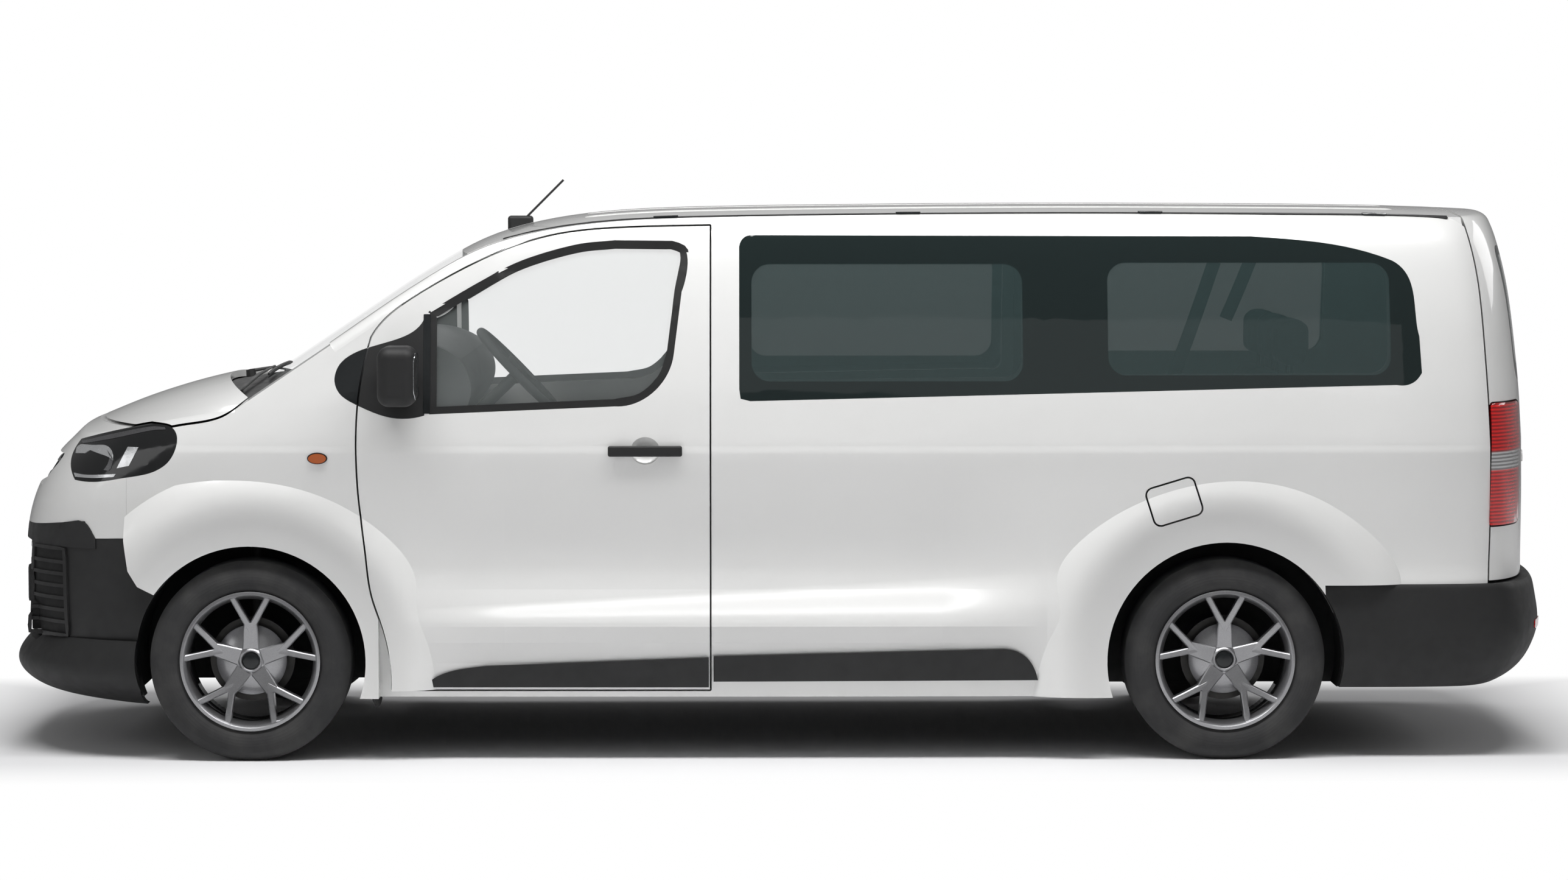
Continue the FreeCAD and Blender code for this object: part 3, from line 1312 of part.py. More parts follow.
steering_y, steering_x, steering_z = -420.0, -891.0, 1285.0
steering_radius, steering_grip, steering_tilt = 190.0, 15.0, 46.0
column_radius, column_length = 20.0, 450.0
boss_radius, boss_depth, spoke_share = 62.0, 40.0, 0.8
spoke_angles = (0, 180, 270)


def wheel_centre():
    """The middle of the steering wheel."""
    return (steering_x, steering_y, steering_z)


def column_direction():
    """The direction of the steering column, down and forwards from the wheel."""
    angle = math.radians(steering_tilt)
    return V(-math.sin(angle), 0, -math.cos(angle))


def column_start(extra=0):
    """The lower end of the column, and a little further on."""
    end = V(*wheel_centre()) + column_direction() * (column_length + extra)
    return (end.x, end.y, end.z)


def make_steering_wheel():
    """The steering wheel on its column shaft."""
    centre, down = V(*wheel_centre()), column_direction()
    rim = Part.makeTorus(steering_radius, steering_grip, centre, down)
    boss = Part.makeCylinder(boss_radius, boss_depth, centre - down * boss_depth / 2, down)
    pieces = [boss, bar(column_radius, (centre.x, centre.y, centre.z), column_start())]
    sideways = V(0, 1, 0)
    upwards = down.cross(sideways)
    for angle in spoke_angles:
        turn = math.radians(angle)
        tip = centre + (sideways * math.cos(turn) + upwards * math.sin(turn)) * steering_radius
        pieces.append(bar(steering_grip * spoke_share, (centre.x, centre.y, centre.z), (tip.x, tip.y, tip.z)))
    return rim.multiFuse(pieces)


seat_width, seat_depth, cushion_height, seat_back_thickness = 500.0, 490.0, 130.0, 130.0
seat_base_height, seat_round = 240.0, 40.0
front_seat_x, front_seat_y, front_back_height = -760.0, 420.0, 300.0
rear_seat_x, rear_back_height, rear_seat_width = 1150.0, 420.0, 1260.0
seat_lean, seat_base_share = 14.0, 0.8
rest_width, rest_height, rest_depth, rest_post = 260.0, 170.0, 100.0, 6.0
rest_top_share, rest_round_share = 1.2, 0.9


def rounded_box(low, high, radius):
    """A box with all its edges rounded."""
    box = block(low, high)
    return box.makeFillet(radius, box.Edges)


def make_seat(x, y, width, back_height, rests):
    """One seat or bench: base, cushion and back, with head rests at the given places."""
    z = floor_top + seat_gap
    half = width / 2
    base = block((x + seat_round, y - half * seat_base_share, z),
                 (x + seat_depth - seat_round, y + half * seat_base_share,
                  z + seat_base_height + cushion_height / 2))
    cushion = rounded_box((x, y - half, z + seat_base_height),
                          (x + seat_depth, y + half, z + seat_base_height + cushion_height), seat_round)
    back = rounded_box((x + seat_depth - seat_back_thickness / 2, y - half, z + seat_base_height),
                       (x + seat_depth + seat_back_thickness / 2, y + half,
                        z + seat_base_height + cushion_height + back_height), seat_round)
    back.rotate(V(x + seat_depth, y, z + seat_base_height), V(0, 1, 0), seat_lean)
    lean = math.radians(seat_lean)
    top = cushion_height + back_height
    foot = V(x + seat_depth + top * math.sin(lean), y, z + seat_base_height + top * math.cos(lean))
    pieces = [cushion, back]
    for place in rests:
        centre = foot + V(0, place, 0)
        rest = rounded_box((centre.x - rest_depth / 2, centre.y - rest_width / 2, centre.z + rest_height / 4),
                           (centre.x + rest_depth / 2, centre.y + rest_width / 2,
                            centre.z + rest_height * rest_top_share), seat_round * rest_round_share)
        posts = [bar(rest_post, (centre.x, centre.y + s * rest_width / 4, centre.z - rest_height / 4),
                     (centre.x, centre.y + s * rest_width / 4, centre.z + rest_height / 2)) for s in (-1, 1)]
        pieces += [rest] + posts
    return base.multiFuse(pieces)


# Small pieces on the outside
mirror_x, mirror_z, mirror_reach_y = -1266.0, 1300.0, 1102.0
mirror_length, mirror_height, mirror_width, mirror_round = 130.0, 200.0, 175.0, 40.0
mirror_arm_radius, mirror_arm_foot = 22.0, 850.0
handle_x, handle_z, handle_length, handle_height = -447.0, 1046.0, 248.0, 36.0
handle_stand, handle_grip, handle_foot = 30.0, 16.0, 26.0
handle_round_ratio = 2.2


def make_mirror():
    """The left door mirror: a rounded housing on its arm."""
    inner = -(mirror_reach_y - mirror_width)
    housing = rounded_box((mirror_x - mirror_length / 2, -mirror_reach_y, mirror_z - mirror_height / 2),
                          (mirror_x + mirror_length / 2, inner, mirror_z + mirror_height / 2), mirror_round)
    arm_z = mirror_z - mirror_height / 3
    arm = bar(mirror_arm_radius, (mirror_x, inner + mirror_round - mirror_width / 3, arm_z),
              (mirror_x, -mirror_arm_foot, arm_z))
    return housing.fuse(arm).cut(inner_form(-seat_gap))


def make_handle():
    """The left door's pull handle on its two feet."""
    x0, x1 = handle_x - handle_length / 2, handle_x + handle_length / 2
    face = -handle_face
    grip = rounded_box((x0, face - handle_stand, handle_z - handle_height / 2),
                       (x1, face - handle_stand + handle_grip, handle_z + handle_height / 2),
                       handle_grip / handle_round_ratio)
    feet = [block((x, face - handle_stand + handle_grip / 2, handle_z - handle_height / 3),
                  (x + handle_foot, face + handle_stand, handle_z + handle_height / 3))
            for x in (x0 + handle_grip, x1 - handle_grip - handle_foot)]
    return grip.multiFuse(feet).cut(inner_form(-seat_gap))


# Dark mouldings along the foot of the doors and the side
door_moulding_shares = [[(-0.449, 0.1335), (-0.440, 0.146), (-0.405, 0.166), (-0.370, 0.1730)],
                        [(-0.0885, 0.1880)], [(-0.0885, 0.1335)]]
side_moulding_shares = [[(-0.0825, 0.1440), (-0.0825, 0.1905)], [(0.285, 0.2030)],
                        [(0.305, 0.196), (0.328, 0.146)]]
moulding_thickness = 10.0


def make_moulding(shares, side):
    """One moulding, laid on the skin."""
    return body_wall(-moulding_thickness, -seat_gap).common(side_region(outline(side_view, *shares), side))


antenna_x, antenna_z_share = -905.0, 0.962
antenna_foot_length, antenna_lean, antenna_length = 90.0, 45.0, 215.0
antenna_radius, antenna_foot_width, antenna_foot_height, antenna_foot_round = 4.0, 34.0, 26.0, 12.0


def make_antenna():
    """The roof antenna: a low foot and a mast that leans back."""
    x, z = antenna_x, antenna_z_share * roof_height
    foot = block((x - antenna_foot_length / 2, -antenna_foot_width / 2, z - antenna_foot_height),
                 (x + antenna_foot_length / 2, antenna_foot_width / 2, z + antenna_foot_height))
    foot = foot.makeFillet(antenna_foot_round, [e for e in foot.Edges if e.BoundBox.ZMax > z])
    lean = math.radians(antenna_lean)
    end = (x + antenna_length * math.sin(lean), 0, z + antenna_length * math.cos(lean))
    mast = bar(antenna_radius, (x, 0, z), end)
    return foot.fuse(mast).common(above_top(roof_line_shares, -seat_gap, roof_crown_radius))


engine_top, engine_reach, engine_round = 960.0, 470.0, 40.0
engine_front_share, engine_back_share = -0.824, -0.660


def make_engine():
    """The engine as one plain block on the rails."""
    front, back = engine_front_share * half_length, engine_back_share * half_length
    return rounded_box((front, -engine_reach, floor_low + seat_gap), (back, engine_reach, engine_top),
                       engine_round)


exhaust_y, exhaust_z, exhaust_radius, muffler_radius, muffler_length = 180.0, 345.0, 28.0, 75.0, 620.0
exhaust_front_share, exhaust_back_share, muffler_x_share, hanger_width = -0.45, 0.90, 0.25, 20.0


def make_exhaust():
    """The exhaust pipe with its silencer, hung from the floor."""
    x0, x1 = exhaust_front_share * half_length, exhaust_back_share * half_length
    pipe = bar(exhaust_radius, (x0, exhaust_y, exhaust_z), (x1, exhaust_y, exhaust_z))
    x = muffler_x_share * half_length
    box = bar(muffler_radius, (x, exhaust_y, exhaust_z), (x + muffler_length, exhaust_y, exhaust_z))
    hangers = [block((h - hanger_width / 2, exhaust_y - hanger_width / 2, exhaust_z),
                     (h + hanger_width / 2, exhaust_y + hanger_width / 2, floor_low - seat_gap))
               for h in (x0 + muffler_length, x, x + muffler_length, x1 - muffler_length / 2)]
    return pipe.multiFuse([box] + hangers)


def make_cowl():
    """The black panel between the bonnet and the windscreen."""
    panel = top_slab(bonnet_line_shares, cowl_sink, cowl_sink + cowl_wall, bonnet_crown_radius)
    front = bowed_line(bonnet_back_x_share, bonnet_back_bow, 0, high_z)
    front.translate(V(-cowl_lap, 0, 0))
    back = bowed_line(screen_foot_x_share, screen_foot_bow, 0, high_z)
    back.translate(V(cowl_lap, 0, 0))
    panel = panel.common(front).cut(back).common(inner_form(rim_wall + seat_gap))
    panel = panel.common(block((front_end_x, -cowl_reach, 0), (0, cowl_reach, high_z)))
    pane = top_slab(roof_line_shares, -seat_gap, screen_thickness + seat_gap, roof_crown_radius)
    return panel.cut(pane.common(bowed_line(screen_foot_x_share, screen_foot_bow, 0, high_z)))


nodes = {}


def add(name, shape):
    """Keep one sub-part and write it to its file."""
    solids = shape.Solids
    nodes[name] = solids[0] if len(solids) == 1 else Part.makeCompound(solids)
    nodes[name].exportStep("parts/" + name + ".step")


def build():
    """Make every sub-part."""
    nose_region = everything(front_end_x, nose_back_x_share * half_length, 0, high_z)
    shell = capped_wall(nose_region, bonnet_line_shares, bonnet_crown_radius, roof_height / 2, 1, sheet_wall)
    add("bonnet", make_bonnet(shell))
    add("front_fascia", make_fascia(shell))
    add("fenders", Part.makeCompound([make_fender(side) for side in (left, right)]))
    for side, word in ((left, "left"), (right, "right")):
        add("side_panel_" + word, make_side(side))
        add("side_frame_" + word, make_frame(side))
        add("door_" + word, make_door(side))
        add("door_glass_" + word, make_door_glass(side))
    add("quarter_panes", Part.makeCompound([make_quarter(side, False) for side in (left, right)]))
    for side, word in ((left, "left"), (right, "right")):
        fix = (lambda shape: shape) if side == left else mirrored
        trim = [make_quarter(side, True), fix(make_mirror())]
        add("mirror_" + word, trim[0].fuse(trim[1]))
        ring = flare(front_axle_x, arch_radius_front, flare_reach_front, side).copy()
        ring.translate(V(2 * seat_gap, 0, 0))
        moulding = make_moulding(door_moulding_shares, side).cut(ring)
        add("door_trim_" + word, Part.makeCompound([moulding, fix(make_handle())]))
    add("sliding_door", body_wall(0, body_panel).common(sliding_space()).cut(
        window_space(sliding_window_shares, right)))
    add("side_glass", Part.makeCompound([
        body_wall(0, glass_thickness).common(window_space(side_window_shares, left, 0)),
        body_wall(0, glass_thickness).common(window_space(sliding_window_shares, right, -seat_gap)),
        body_wall(0, glass_thickness).common(window_space(rear_window_shares, right, 0))]))
    mouldings = []
    for side in (left, right):
        ring = flare(rear_axle_x, arch_radius_rear, flare_reach_rear, side).copy()
        ring.translate(V(-2 * seat_gap, 0, 0))
        mouldings.append(make_moulding(side_moulding_shares, side).cut(ring))
    add("sill_mouldings", Part.makeCompound(mouldings))
    add("windscreen", make_windscreen())
    add("cowl", make_cowl())
    add("roof_panel", make_roof())
    add("tailgate", make_tailgate())
    add("tail_glass", make_tail_glass())
    add("tail_lamps", make_tail_lamps())
    add("rear_bumper", make_rear_bumper())
    add("front_bumper", make_front_bumper())
    add("grilles", Part.makeCompound([make_slats(intake_shares, intake_corner, slat_count, slat_depth),
                                      make_slats(upper_grille_shares, upper_grille_corner, upper_slat_count,
                                                 slat_depth / 2)]))
    add("headlamps", make_headlamps())
    add("fuel_flap", make_flap())
    add("underbody", make_underbody())
    add("front_subframe", make_subframe())
    add("rear_axle", make_rear_axle())
    add("engine_block", make_engine())
    add("exhaust", make_exhaust())
    add("dashboard", make_dashboard())
    add("steering_wheel", make_steering_wheel())
    add("front_seats", Part.makeCompound([
        make_seat(front_seat_x, side * front_seat_y, seat_width, front_back_height, [])
        for side in (left, right)]))
    add("rear_seats", make_seat(rear_seat_x, 0, rear_seat_width, rear_back_height,
                                [side * rear_seat_width / 3 for side in (left, 0, right)]))
    add("antenna", make_antenna())
    knuckle = make_knuckle()
    add("knuckle_left", knuckle)
    add("knuckle_right", mirrored(knuckle))
    rim, tyre, disc = make_rim(), make_tyre(), make_disc()
    for word, place in wheel_places.items():
        add("rim_" + word, placed(rim, place))
        add("tyre_" + word, placed(tyre, place))
        add("disc_" + word, placed(disc, place))


build()
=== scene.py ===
# %% [markdown]
# # A white minibus, seen from the side
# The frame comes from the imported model: every panel, pane and wheel is already in place, in metres, with the
# front towards -X, the driver's side towards -Y and the ground at Z = 0. This script gives those pieces their
# finishes, adds the small pieces that a person would model by hand, and sets the studio round them.

# %% Load the frame
import json
import math
import bpy
from mathutils import Matrix, Vector
from mathutils.bvhtree import BVHTree


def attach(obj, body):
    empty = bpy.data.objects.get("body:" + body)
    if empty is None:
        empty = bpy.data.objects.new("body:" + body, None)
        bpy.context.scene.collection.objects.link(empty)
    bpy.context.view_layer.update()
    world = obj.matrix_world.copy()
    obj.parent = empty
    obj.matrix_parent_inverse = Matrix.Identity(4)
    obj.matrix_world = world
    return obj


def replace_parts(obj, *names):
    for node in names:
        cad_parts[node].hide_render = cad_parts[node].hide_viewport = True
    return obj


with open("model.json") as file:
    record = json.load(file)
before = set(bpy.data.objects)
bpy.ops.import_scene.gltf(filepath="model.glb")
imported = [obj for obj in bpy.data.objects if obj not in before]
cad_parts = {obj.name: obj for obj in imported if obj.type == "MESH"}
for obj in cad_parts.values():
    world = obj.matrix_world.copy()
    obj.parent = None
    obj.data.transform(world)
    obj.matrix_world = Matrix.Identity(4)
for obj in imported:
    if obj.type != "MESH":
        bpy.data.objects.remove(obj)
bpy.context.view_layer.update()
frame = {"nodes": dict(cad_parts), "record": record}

nodes = frame["nodes"]
scene = bpy.context.scene
print("frame loaded:", len(nodes), "nodes")

# %% [markdown]
# ## The camera
# The photograph was taken level with the roof, from far away, so the sides look almost flat. A long lens at
# the same distance gives the same flatness. The camera aims at the middle of the picture instead of using a
# shift, because a shift would stay in the other views.

# %% Camera
camera_place = Vector((-0.148, -15.52, 2.04))
camera_aim = Vector((0.0173, -0.925, 1.0808))
lens_length, sensor_width, view_end = 100.4, 36.0, 200.0


def turn_to(place, aim):
    """The turn that makes a camera or a lamp at one place face another."""
    return (Vector(aim) - Vector(place)).to_track_quat("-Z", "Y").to_euler()


camera_data = bpy.data.cameras.new("camera")
camera_data.lens, camera_data.sensor_width, camera_data.clip_end = lens_length, sensor_width, view_end
camera = bpy.data.objects.new("camera", camera_data)
camera.location = camera_place
camera.rotation_euler = turn_to(camera_place, camera_aim)
scene.collection.objects.link(camera)
scene.camera = camera
scene.view_settings.view_transform = "Standard"
print("camera at", tuple(camera_place))

# %% [markdown]
# ## The light
# White paint shows its shape only through soft changes of brightness, so the lamps are panels and not points.
# A long narrow one hangs over the side that the camera sees and draws the bright lines on its folds. A faint
# one stands behind the camera, one lights the nose and one the tail, and one hangs over the far side, so that
# the other views are lit as well.

# %% Lamps
lamps = (
    ("lamp_above", (0.0, -2.5, 5.8), (0.0, -0.6, 0.9), (7.5, 1.1), 385.0),
    ("lamp_side", (-1.0, -9.5, 4.5), (0.0, 0.0, 0.7), (10.0, 1.6), 16.0),
    ("lamp_front", (-9.0, -4.0, 4.0), (-1.5, 0.0, 0.9), (4.0, 3.0), 50.0),
    ("lamp_rear", (9.0, 4.0, 4.5), (1.5, 0.0, 0.9), (4.0, 3.0), 80.0),
    ("lamp_far", (0.0, 6.0, 5.4), (0.0, 0.6, 0.9), (7.5, 1.5), 150.0),
)


def add_panel_lamp(name, place, aim, size, power):
    """A rectangular area lamp of size (width, height) that faces aim."""
    data = bpy.data.lights.new(name, "AREA")
    data.shape = "RECTANGLE"
    data.size, data.size_y = size
    data.energy = power
    lamp = bpy.data.objects.new(name, data)
    lamp.location = place
    lamp.rotation_euler = turn_to(place, aim)
    scene.collection.objects.link(lamp)


for lamp_row in lamps:
    add_panel_lamp(*lamp_row)
print("lamps:", len(lamps))

# %% [markdown]
# ## The world
# The photograph has a white ground without a horizon. A white world would light the vehicle from everywhere
# and wash its shape out. Here the world is white only for the camera and for rays that have passed through a
# pane, and a dim grey for all other rays, which keeps the shadows.

# %% World
world_strength = 0.19


def studio_world(strength):
    """A dim world that shows as white behind the vehicle and through its panes."""
    world = bpy.data.worlds.new("studio")
    world.use_nodes = True
    tree = world.node_tree
    tree.nodes.clear()
    paths = tree.nodes.new("ShaderNodeLightPath")
    seen = tree.nodes.new("ShaderNodeMath")
    seen.operation = "MAXIMUM"
    tree.links.new(paths.outputs["Is Camera Ray"], seen.inputs[0])
    tree.links.new(paths.outputs["Is Transmission Ray"], seen.inputs[1])
    soft = tree.nodes.new("ShaderNodeBackground")
    bright = tree.nodes.new("ShaderNodeBackground")
    for background, power in ((soft, strength), (bright, 1.0)):
        background.inputs["Color"].default_value = (1.0, 1.0, 1.0, 1.0)
        background.inputs["Strength"].default_value = power
    mix = tree.nodes.new("ShaderNodeMixShader")
    tree.links.new(seen.outputs[0], mix.inputs[0])
    tree.links.new(soft.outputs[0], mix.inputs[1])
    tree.links.new(bright.outputs[0], mix.inputs[2])
    end = tree.nodes.new("ShaderNodeOutputWorld")
    tree.links.new(mix.outputs[0], end.inputs["Surface"])
    return world


scene.world = studio_world(world_strength)
print("world strength:", world_strength)

# %% [markdown]
# ## Materials
# Each finish starts from one Principled shader. Wiring nodes by hand takes many lines, so two small classes
# carry the shorthand: one adds nodes to any tree, and one also starts a material. Each finish below then
# reads as a short recipe: a colour, a gloss and the grain that the real surface shows.

# %% Shorthand for node trees
class Wiring:
    """Short ways to add nodes to one tree, a material's or a group's."""

    def __init__(self, tree):
        self.tree = tree

    def node(self, kind, inputs=None, **settings):
        """A new node, with its settings, its values and its links."""
        made = self.tree.nodes.new(kind)
        for key, value in settings.items():
            setattr(made, key, value)
        for key, value in (inputs or {}).items():
            if isinstance(value, bpy.types.NodeSocket):
                self.tree.links.new(value, made.inputs[key])
            else:
                made.inputs[key].default_value = value
        return made

    def math(self, operation, a, b=0.0):
        """One Math node."""
        return self.node("ShaderNodeMath", {0: a, 1: b}, operation=operation).outputs[0]

    def split(self, place):
        """The three parts of a place."""
        return self.node("ShaderNodeSeparateXYZ", {0: place}).outputs

    def noise(self, place, scale, detail):
        """Noise at a place."""
        made = self.node("ShaderNodeTexNoise", {"Vector": place, "Scale": scale, "Detail": detail})
        return made.outputs["Fac"]

    def spread(self, value, low, high, bottom=0.0, top=1.0, kind="LINEAR"):
        """Maps low..high to bottom..top, held at both ends."""
        made = self.node("ShaderNodeMapRange", {"Value": value, "From Min": low, "From Max": high,
                                                "To Min": bottom, "To Max": top}, interpolation_type=kind)
        return made.outputs["Result"]

    def ease(self, value, low, high, bottom=0.0, top=1.0):
        """As spread, with soft ends."""
        return self.spread(value, low, high, bottom, top, "SMOOTHSTEP")

    def tint(self, mask, dark, light):
        """A colour between dark and light."""
        return self.node("ShaderNodeMix", {0: mask, 6: dark, 7: light}, data_type="RGBA").outputs[2]


class Recipe(Wiring):
    """One material with its Principled shader."""

    def __init__(self, name, color, rough, metal=0.0, **extra):
        self.material = bpy.data.materials.new(name)
        self.material.use_nodes = True
        super().__init__(self.material.node_tree)
        self.shader = self.tree.nodes["Principled BSDF"]
        self.end = self.tree.nodes["Material Output"]
        self.shader.inputs["Base Color"].default_value = (*color, 1.0)
        self.shader.inputs["Roughness"].default_value = rough
        self.shader.inputs["Metallic"].default_value = metal
        for socket, value in extra.items():
            self.shader.inputs[socket.replace("_", " ")].default_value = value
        self.place = self.node("ShaderNodeTexCoord").outputs["Object"]

    def feed(self, output, socket):
        """Links an output to the shader."""
        self.tree.links.new(output, self.shader.inputs[socket])

    def pattern(self, group, **values):
        """A shared pattern on the object's own coordinates, with this material's values."""
        return self.node("ShaderNodeGroup", {"Vector": self.place, **values}, node_tree=group).outputs

    def bump(self, height, strength, distance):
        """Feeds a bump to the shader's normal."""
        made = self.node("ShaderNodeBump", {"Height": height, "Strength": strength, "Distance": distance})
        self.feed(made.outputs["Normal"], "Normal")


def opaque(color):
    """A colour of three values with its alpha."""
    return (*color, 1.0)


print("node shorthand ready")

# %% [markdown]
# ## Shared patterns
# Real surfaces are never one flat colour or one gloss, and several finishes vary in the same way. Copying the
# nodes into each material would hide that, so each shared effect is a node group with named sockets: a cloudy
# two-tone colour, a drifting gloss, the distance from the nearer axle, and a window shape with round corners.

# %% Node groups
axle_z, axle_places = 0.337, (-1.7735, 1.5015)
window_corner, window_blur = 0.062, 0.0015


def new_group(name, inputs, outputs):
    """An empty node group with named sockets, ready for wiring."""
    tree = bpy.data.node_groups.new(name, "ShaderNodeTree")
    for way, sockets in (("INPUT", inputs), ("OUTPUT", outputs)):
        for label, kind in sockets.items():
            tree.interface.new_socket(name=label, in_out=way, socket_type="NodeSocket" + kind)
    wiring = Wiring(tree)
    wiring.given = tree.nodes.new("NodeGroupInput").outputs
    wiring.result = tree.nodes.new("NodeGroupOutput").inputs
    return wiring


def cloudy_tone_group():
    """A colour that drifts between two tones."""
    g = new_group("cloudy_tone", {"Vector": "Vector", "Scale": "Float", "Detail": "Float", "Dark": "Color",
                                  "Light": "Color"}, {"Color": "Color"})
    cloud = g.noise(g.given["Vector"], g.given["Scale"], g.given["Detail"])
    g.tree.links.new(g.tint(cloud, g.given["Dark"], g.given["Light"]), g.result["Color"])
    return g.tree


def drifting_gloss_group():
    """A roughness that drifts between two values."""
    g = new_group("drifting_gloss", {"Vector": "Vector", "Scale": "Float", "Detail": "Float", "Low": "Float",
                                     "High": "Float"}, {"Roughness": "Float"})
    cloud = g.noise(g.given["Vector"], g.given["Scale"], g.given["Detail"])
    drift = g.spread(cloud, 0.3, 0.7, g.given["Low"], g.given["High"])
    g.tree.links.new(drift, g.result["Roughness"])
    return g.tree


def axle_distance_group():
    """The distance from the nearer axle, seen from the side, and from the middle of the vehicle."""
    g = new_group("axle_distance", {"Vector": "Vector"}, {"Radius": "Float", "Out": "Float"})
    x, y, z = g.split(g.given["Vector"])
    rise = g.math("SUBTRACT", z, axle_z)
    found = []
    for axle_x in axle_places:
        run = g.math("SUBTRACT", x, axle_x)
        squares = g.math("ADD", g.math("MULTIPLY", run, run), g.math("MULTIPLY", rise, rise))
        found.append(g.math("SQRT", squares))
    g.tree.links.new(g.math("MINIMUM", *found), g.result["Radius"])
    g.tree.links.new(g.math("ABSOLUTE", y), g.result["Out"])
    return g.tree


def window_shape_group():
    """1 inside a rectangle with round corners, 0 outside it."""
    words = ("A", "B")
    sockets = {label + word: "Float" for word in words for label in ("", "Centre ", "Half ")}
    g = new_group("window_shape", {**sockets, "Corner": "Float"}, {"Inside": "Float"})
    parts = []
    for word in words:
        away = g.math("ABSOLUTE", g.math("SUBTRACT", g.given[word], g.given["Centre " + word]))
        straight = g.math("SUBTRACT", g.given["Half " + word], g.given["Corner"])
        beyond = g.math("MAXIMUM", g.math("SUBTRACT", away, straight), 0.0)
        parts.append(g.math("MULTIPLY", beyond, beyond))
    distance = g.math("SQRT", g.math("ADD", *parts))
    inside = g.spread(g.math("SUBTRACT", distance, g.given["Corner"]), window_blur, -window_blur)
    g.tree.links.new(inside, g.result["Inside"])
    return g.tree


cloudy_tone, drifting_gloss = cloudy_tone_group(), drifting_gloss_group()
axle_distance, window_shape = axle_distance_group(), window_shape_group()
print("shared patterns:", len(bpy.data.node_groups))

# %% [markdown]
# ## Paint
# The body is white enamel under a clear coat. The pressings also have four long forms that are too shallow
# for the panels' own mesh: a ledge that deepens along the foot of the doors, a tuck above it, a soft break at
# the shoulder and the fall of the flares round the wheels. Sculpting them would need a far finer mesh. They
# are heights in the paint instead, so the highlights bend over them as they do on the real doors.

# %% Paint finish
paint_whites = ((0.78, 0.78, 0.77), (0.82, 0.82, 0.81))
ledge_x, ledge_top_z, ledge_depth = (-1.25, 0.85), (0.515, 0.120), (0.050, 0.120)
ledge_start_x, ledge_end_x, ledge_foot_z, ledge_slope = (-1.26, -0.92), (0.90, 0.55), (0.455, 0.33), 0.42
tuck_z, tuck_foot_z, tuck_height = (0.58, 1.03), (0.40, 0.58), -0.024
shoulder_z, shoulder_height = (1.035, 1.065), -0.0035
flare_radius, flare_height = (0.36, 0.575), -0.052
paint_grain_scale, paint_grain_strength, paint_grain_height = 420.0, 0.05, 0.0006


def finish_paint():
    """White enamel under a clear coat, with the shallow forms of the pressings."""
    r = Recipe("paint_white", (0.80, 0.80, 0.79), 0.34, Coat_Weight=1.0, Coat_Roughness=0.04,
               Specular_IOR_Level=0.5)
    dark, light = paint_whites
    tone = r.pattern(cloudy_tone, Scale=1.3, Detail=2.0, Dark=opaque(dark), Light=opaque(light))
    r.feed(tone["Color"], "Base Color")
    apart = r.split(r.place)
    x, z = apart["X"], apart["Z"]
    along = r.spread(x, *ledge_x)
    top, depth = (r.math("ADD", r.math("MULTIPLY", along, more), start)
                  for start, more in (ledge_top_z, ledge_depth))
    fall = r.ease(r.math("DIVIDE", r.math("SUBTRACT", top, z), depth), 0.0, 1.0)
    ends = r.math("MULTIPLY", r.spread(x, *ledge_start_x), r.spread(x, *ledge_end_x))
    ledge = r.math("MULTIPLY", r.math("MULTIPLY", fall, ends), r.math("MULTIPLY", depth, ledge_slope))
    ledge = r.math("MULTIPLY", ledge, r.spread(z, *ledge_foot_z, 1.0, 0.0))
    tuck = r.math("MULTIPLY", r.ease(z, *tuck_z, tuck_height, 0.0), r.spread(z, *tuck_foot_z))
    tuck = r.math("MULTIPLY", tuck, ends)
    shoulder = r.ease(z, *shoulder_z, 0.0, shoulder_height)
    flare = r.ease(r.pattern(axle_distance)["Radius"], *flare_radius, flare_height, 0.0)
    height = r.math("ADD", r.math("ADD", ledge, tuck), r.math("ADD", shoulder, flare))
    forms = r.node("ShaderNodeBump", {"Height": height, "Strength": 1.0, "Distance": 1.0})
    grain = r.node("ShaderNodeBump", {"Height": r.noise(r.place, paint_grain_scale, 2.0),
                                      "Strength": paint_grain_strength, "Distance": paint_grain_height,
                                      "Normal": forms.outputs["Normal"]})
    r.feed(grain.outputs["Normal"], "Normal")
    return r.material


paint = finish_paint()
print("paint:", paint.name)

# %% [markdown]
# ## Plastics and rubber
# The bumpers and mouldings are dyed plastic from a mould whose walls were etched, which breaks their shine up
# into tiny cells. Piano black, lamp covers and cloth straps differ only in tone, gloss and the size of those
# cells, so one recipe makes them all from a table.

# %% Plastic finishes
grain_strength, grain_height, gloss_drift = 0.25, 0.0005, 0.06


def finish_plastic(name, dark, light, rough, cells):
    """Moulded plastic with an etched grain of some cells per metre."""
    r = Recipe(name, dark, rough)
    etching = r.node("ShaderNodeTexVoronoi", {"Vector": r.place, "Scale": cells}).outputs["Distance"]
    tone = r.pattern(cloudy_tone, Scale=6.0, Detail=4.0, Dark=opaque(dark), Light=opaque(light))
    gloss = r.pattern(drifting_gloss, Scale=20.0, Detail=3.0, Low=rough - gloss_drift,
                      High=rough + gloss_drift)
    r.feed(tone["Color"], "Base Color")
    r.feed(gloss["Roughness"], "Roughness")
    r.bump(etching, grain_strength, grain_height)
    return r.material


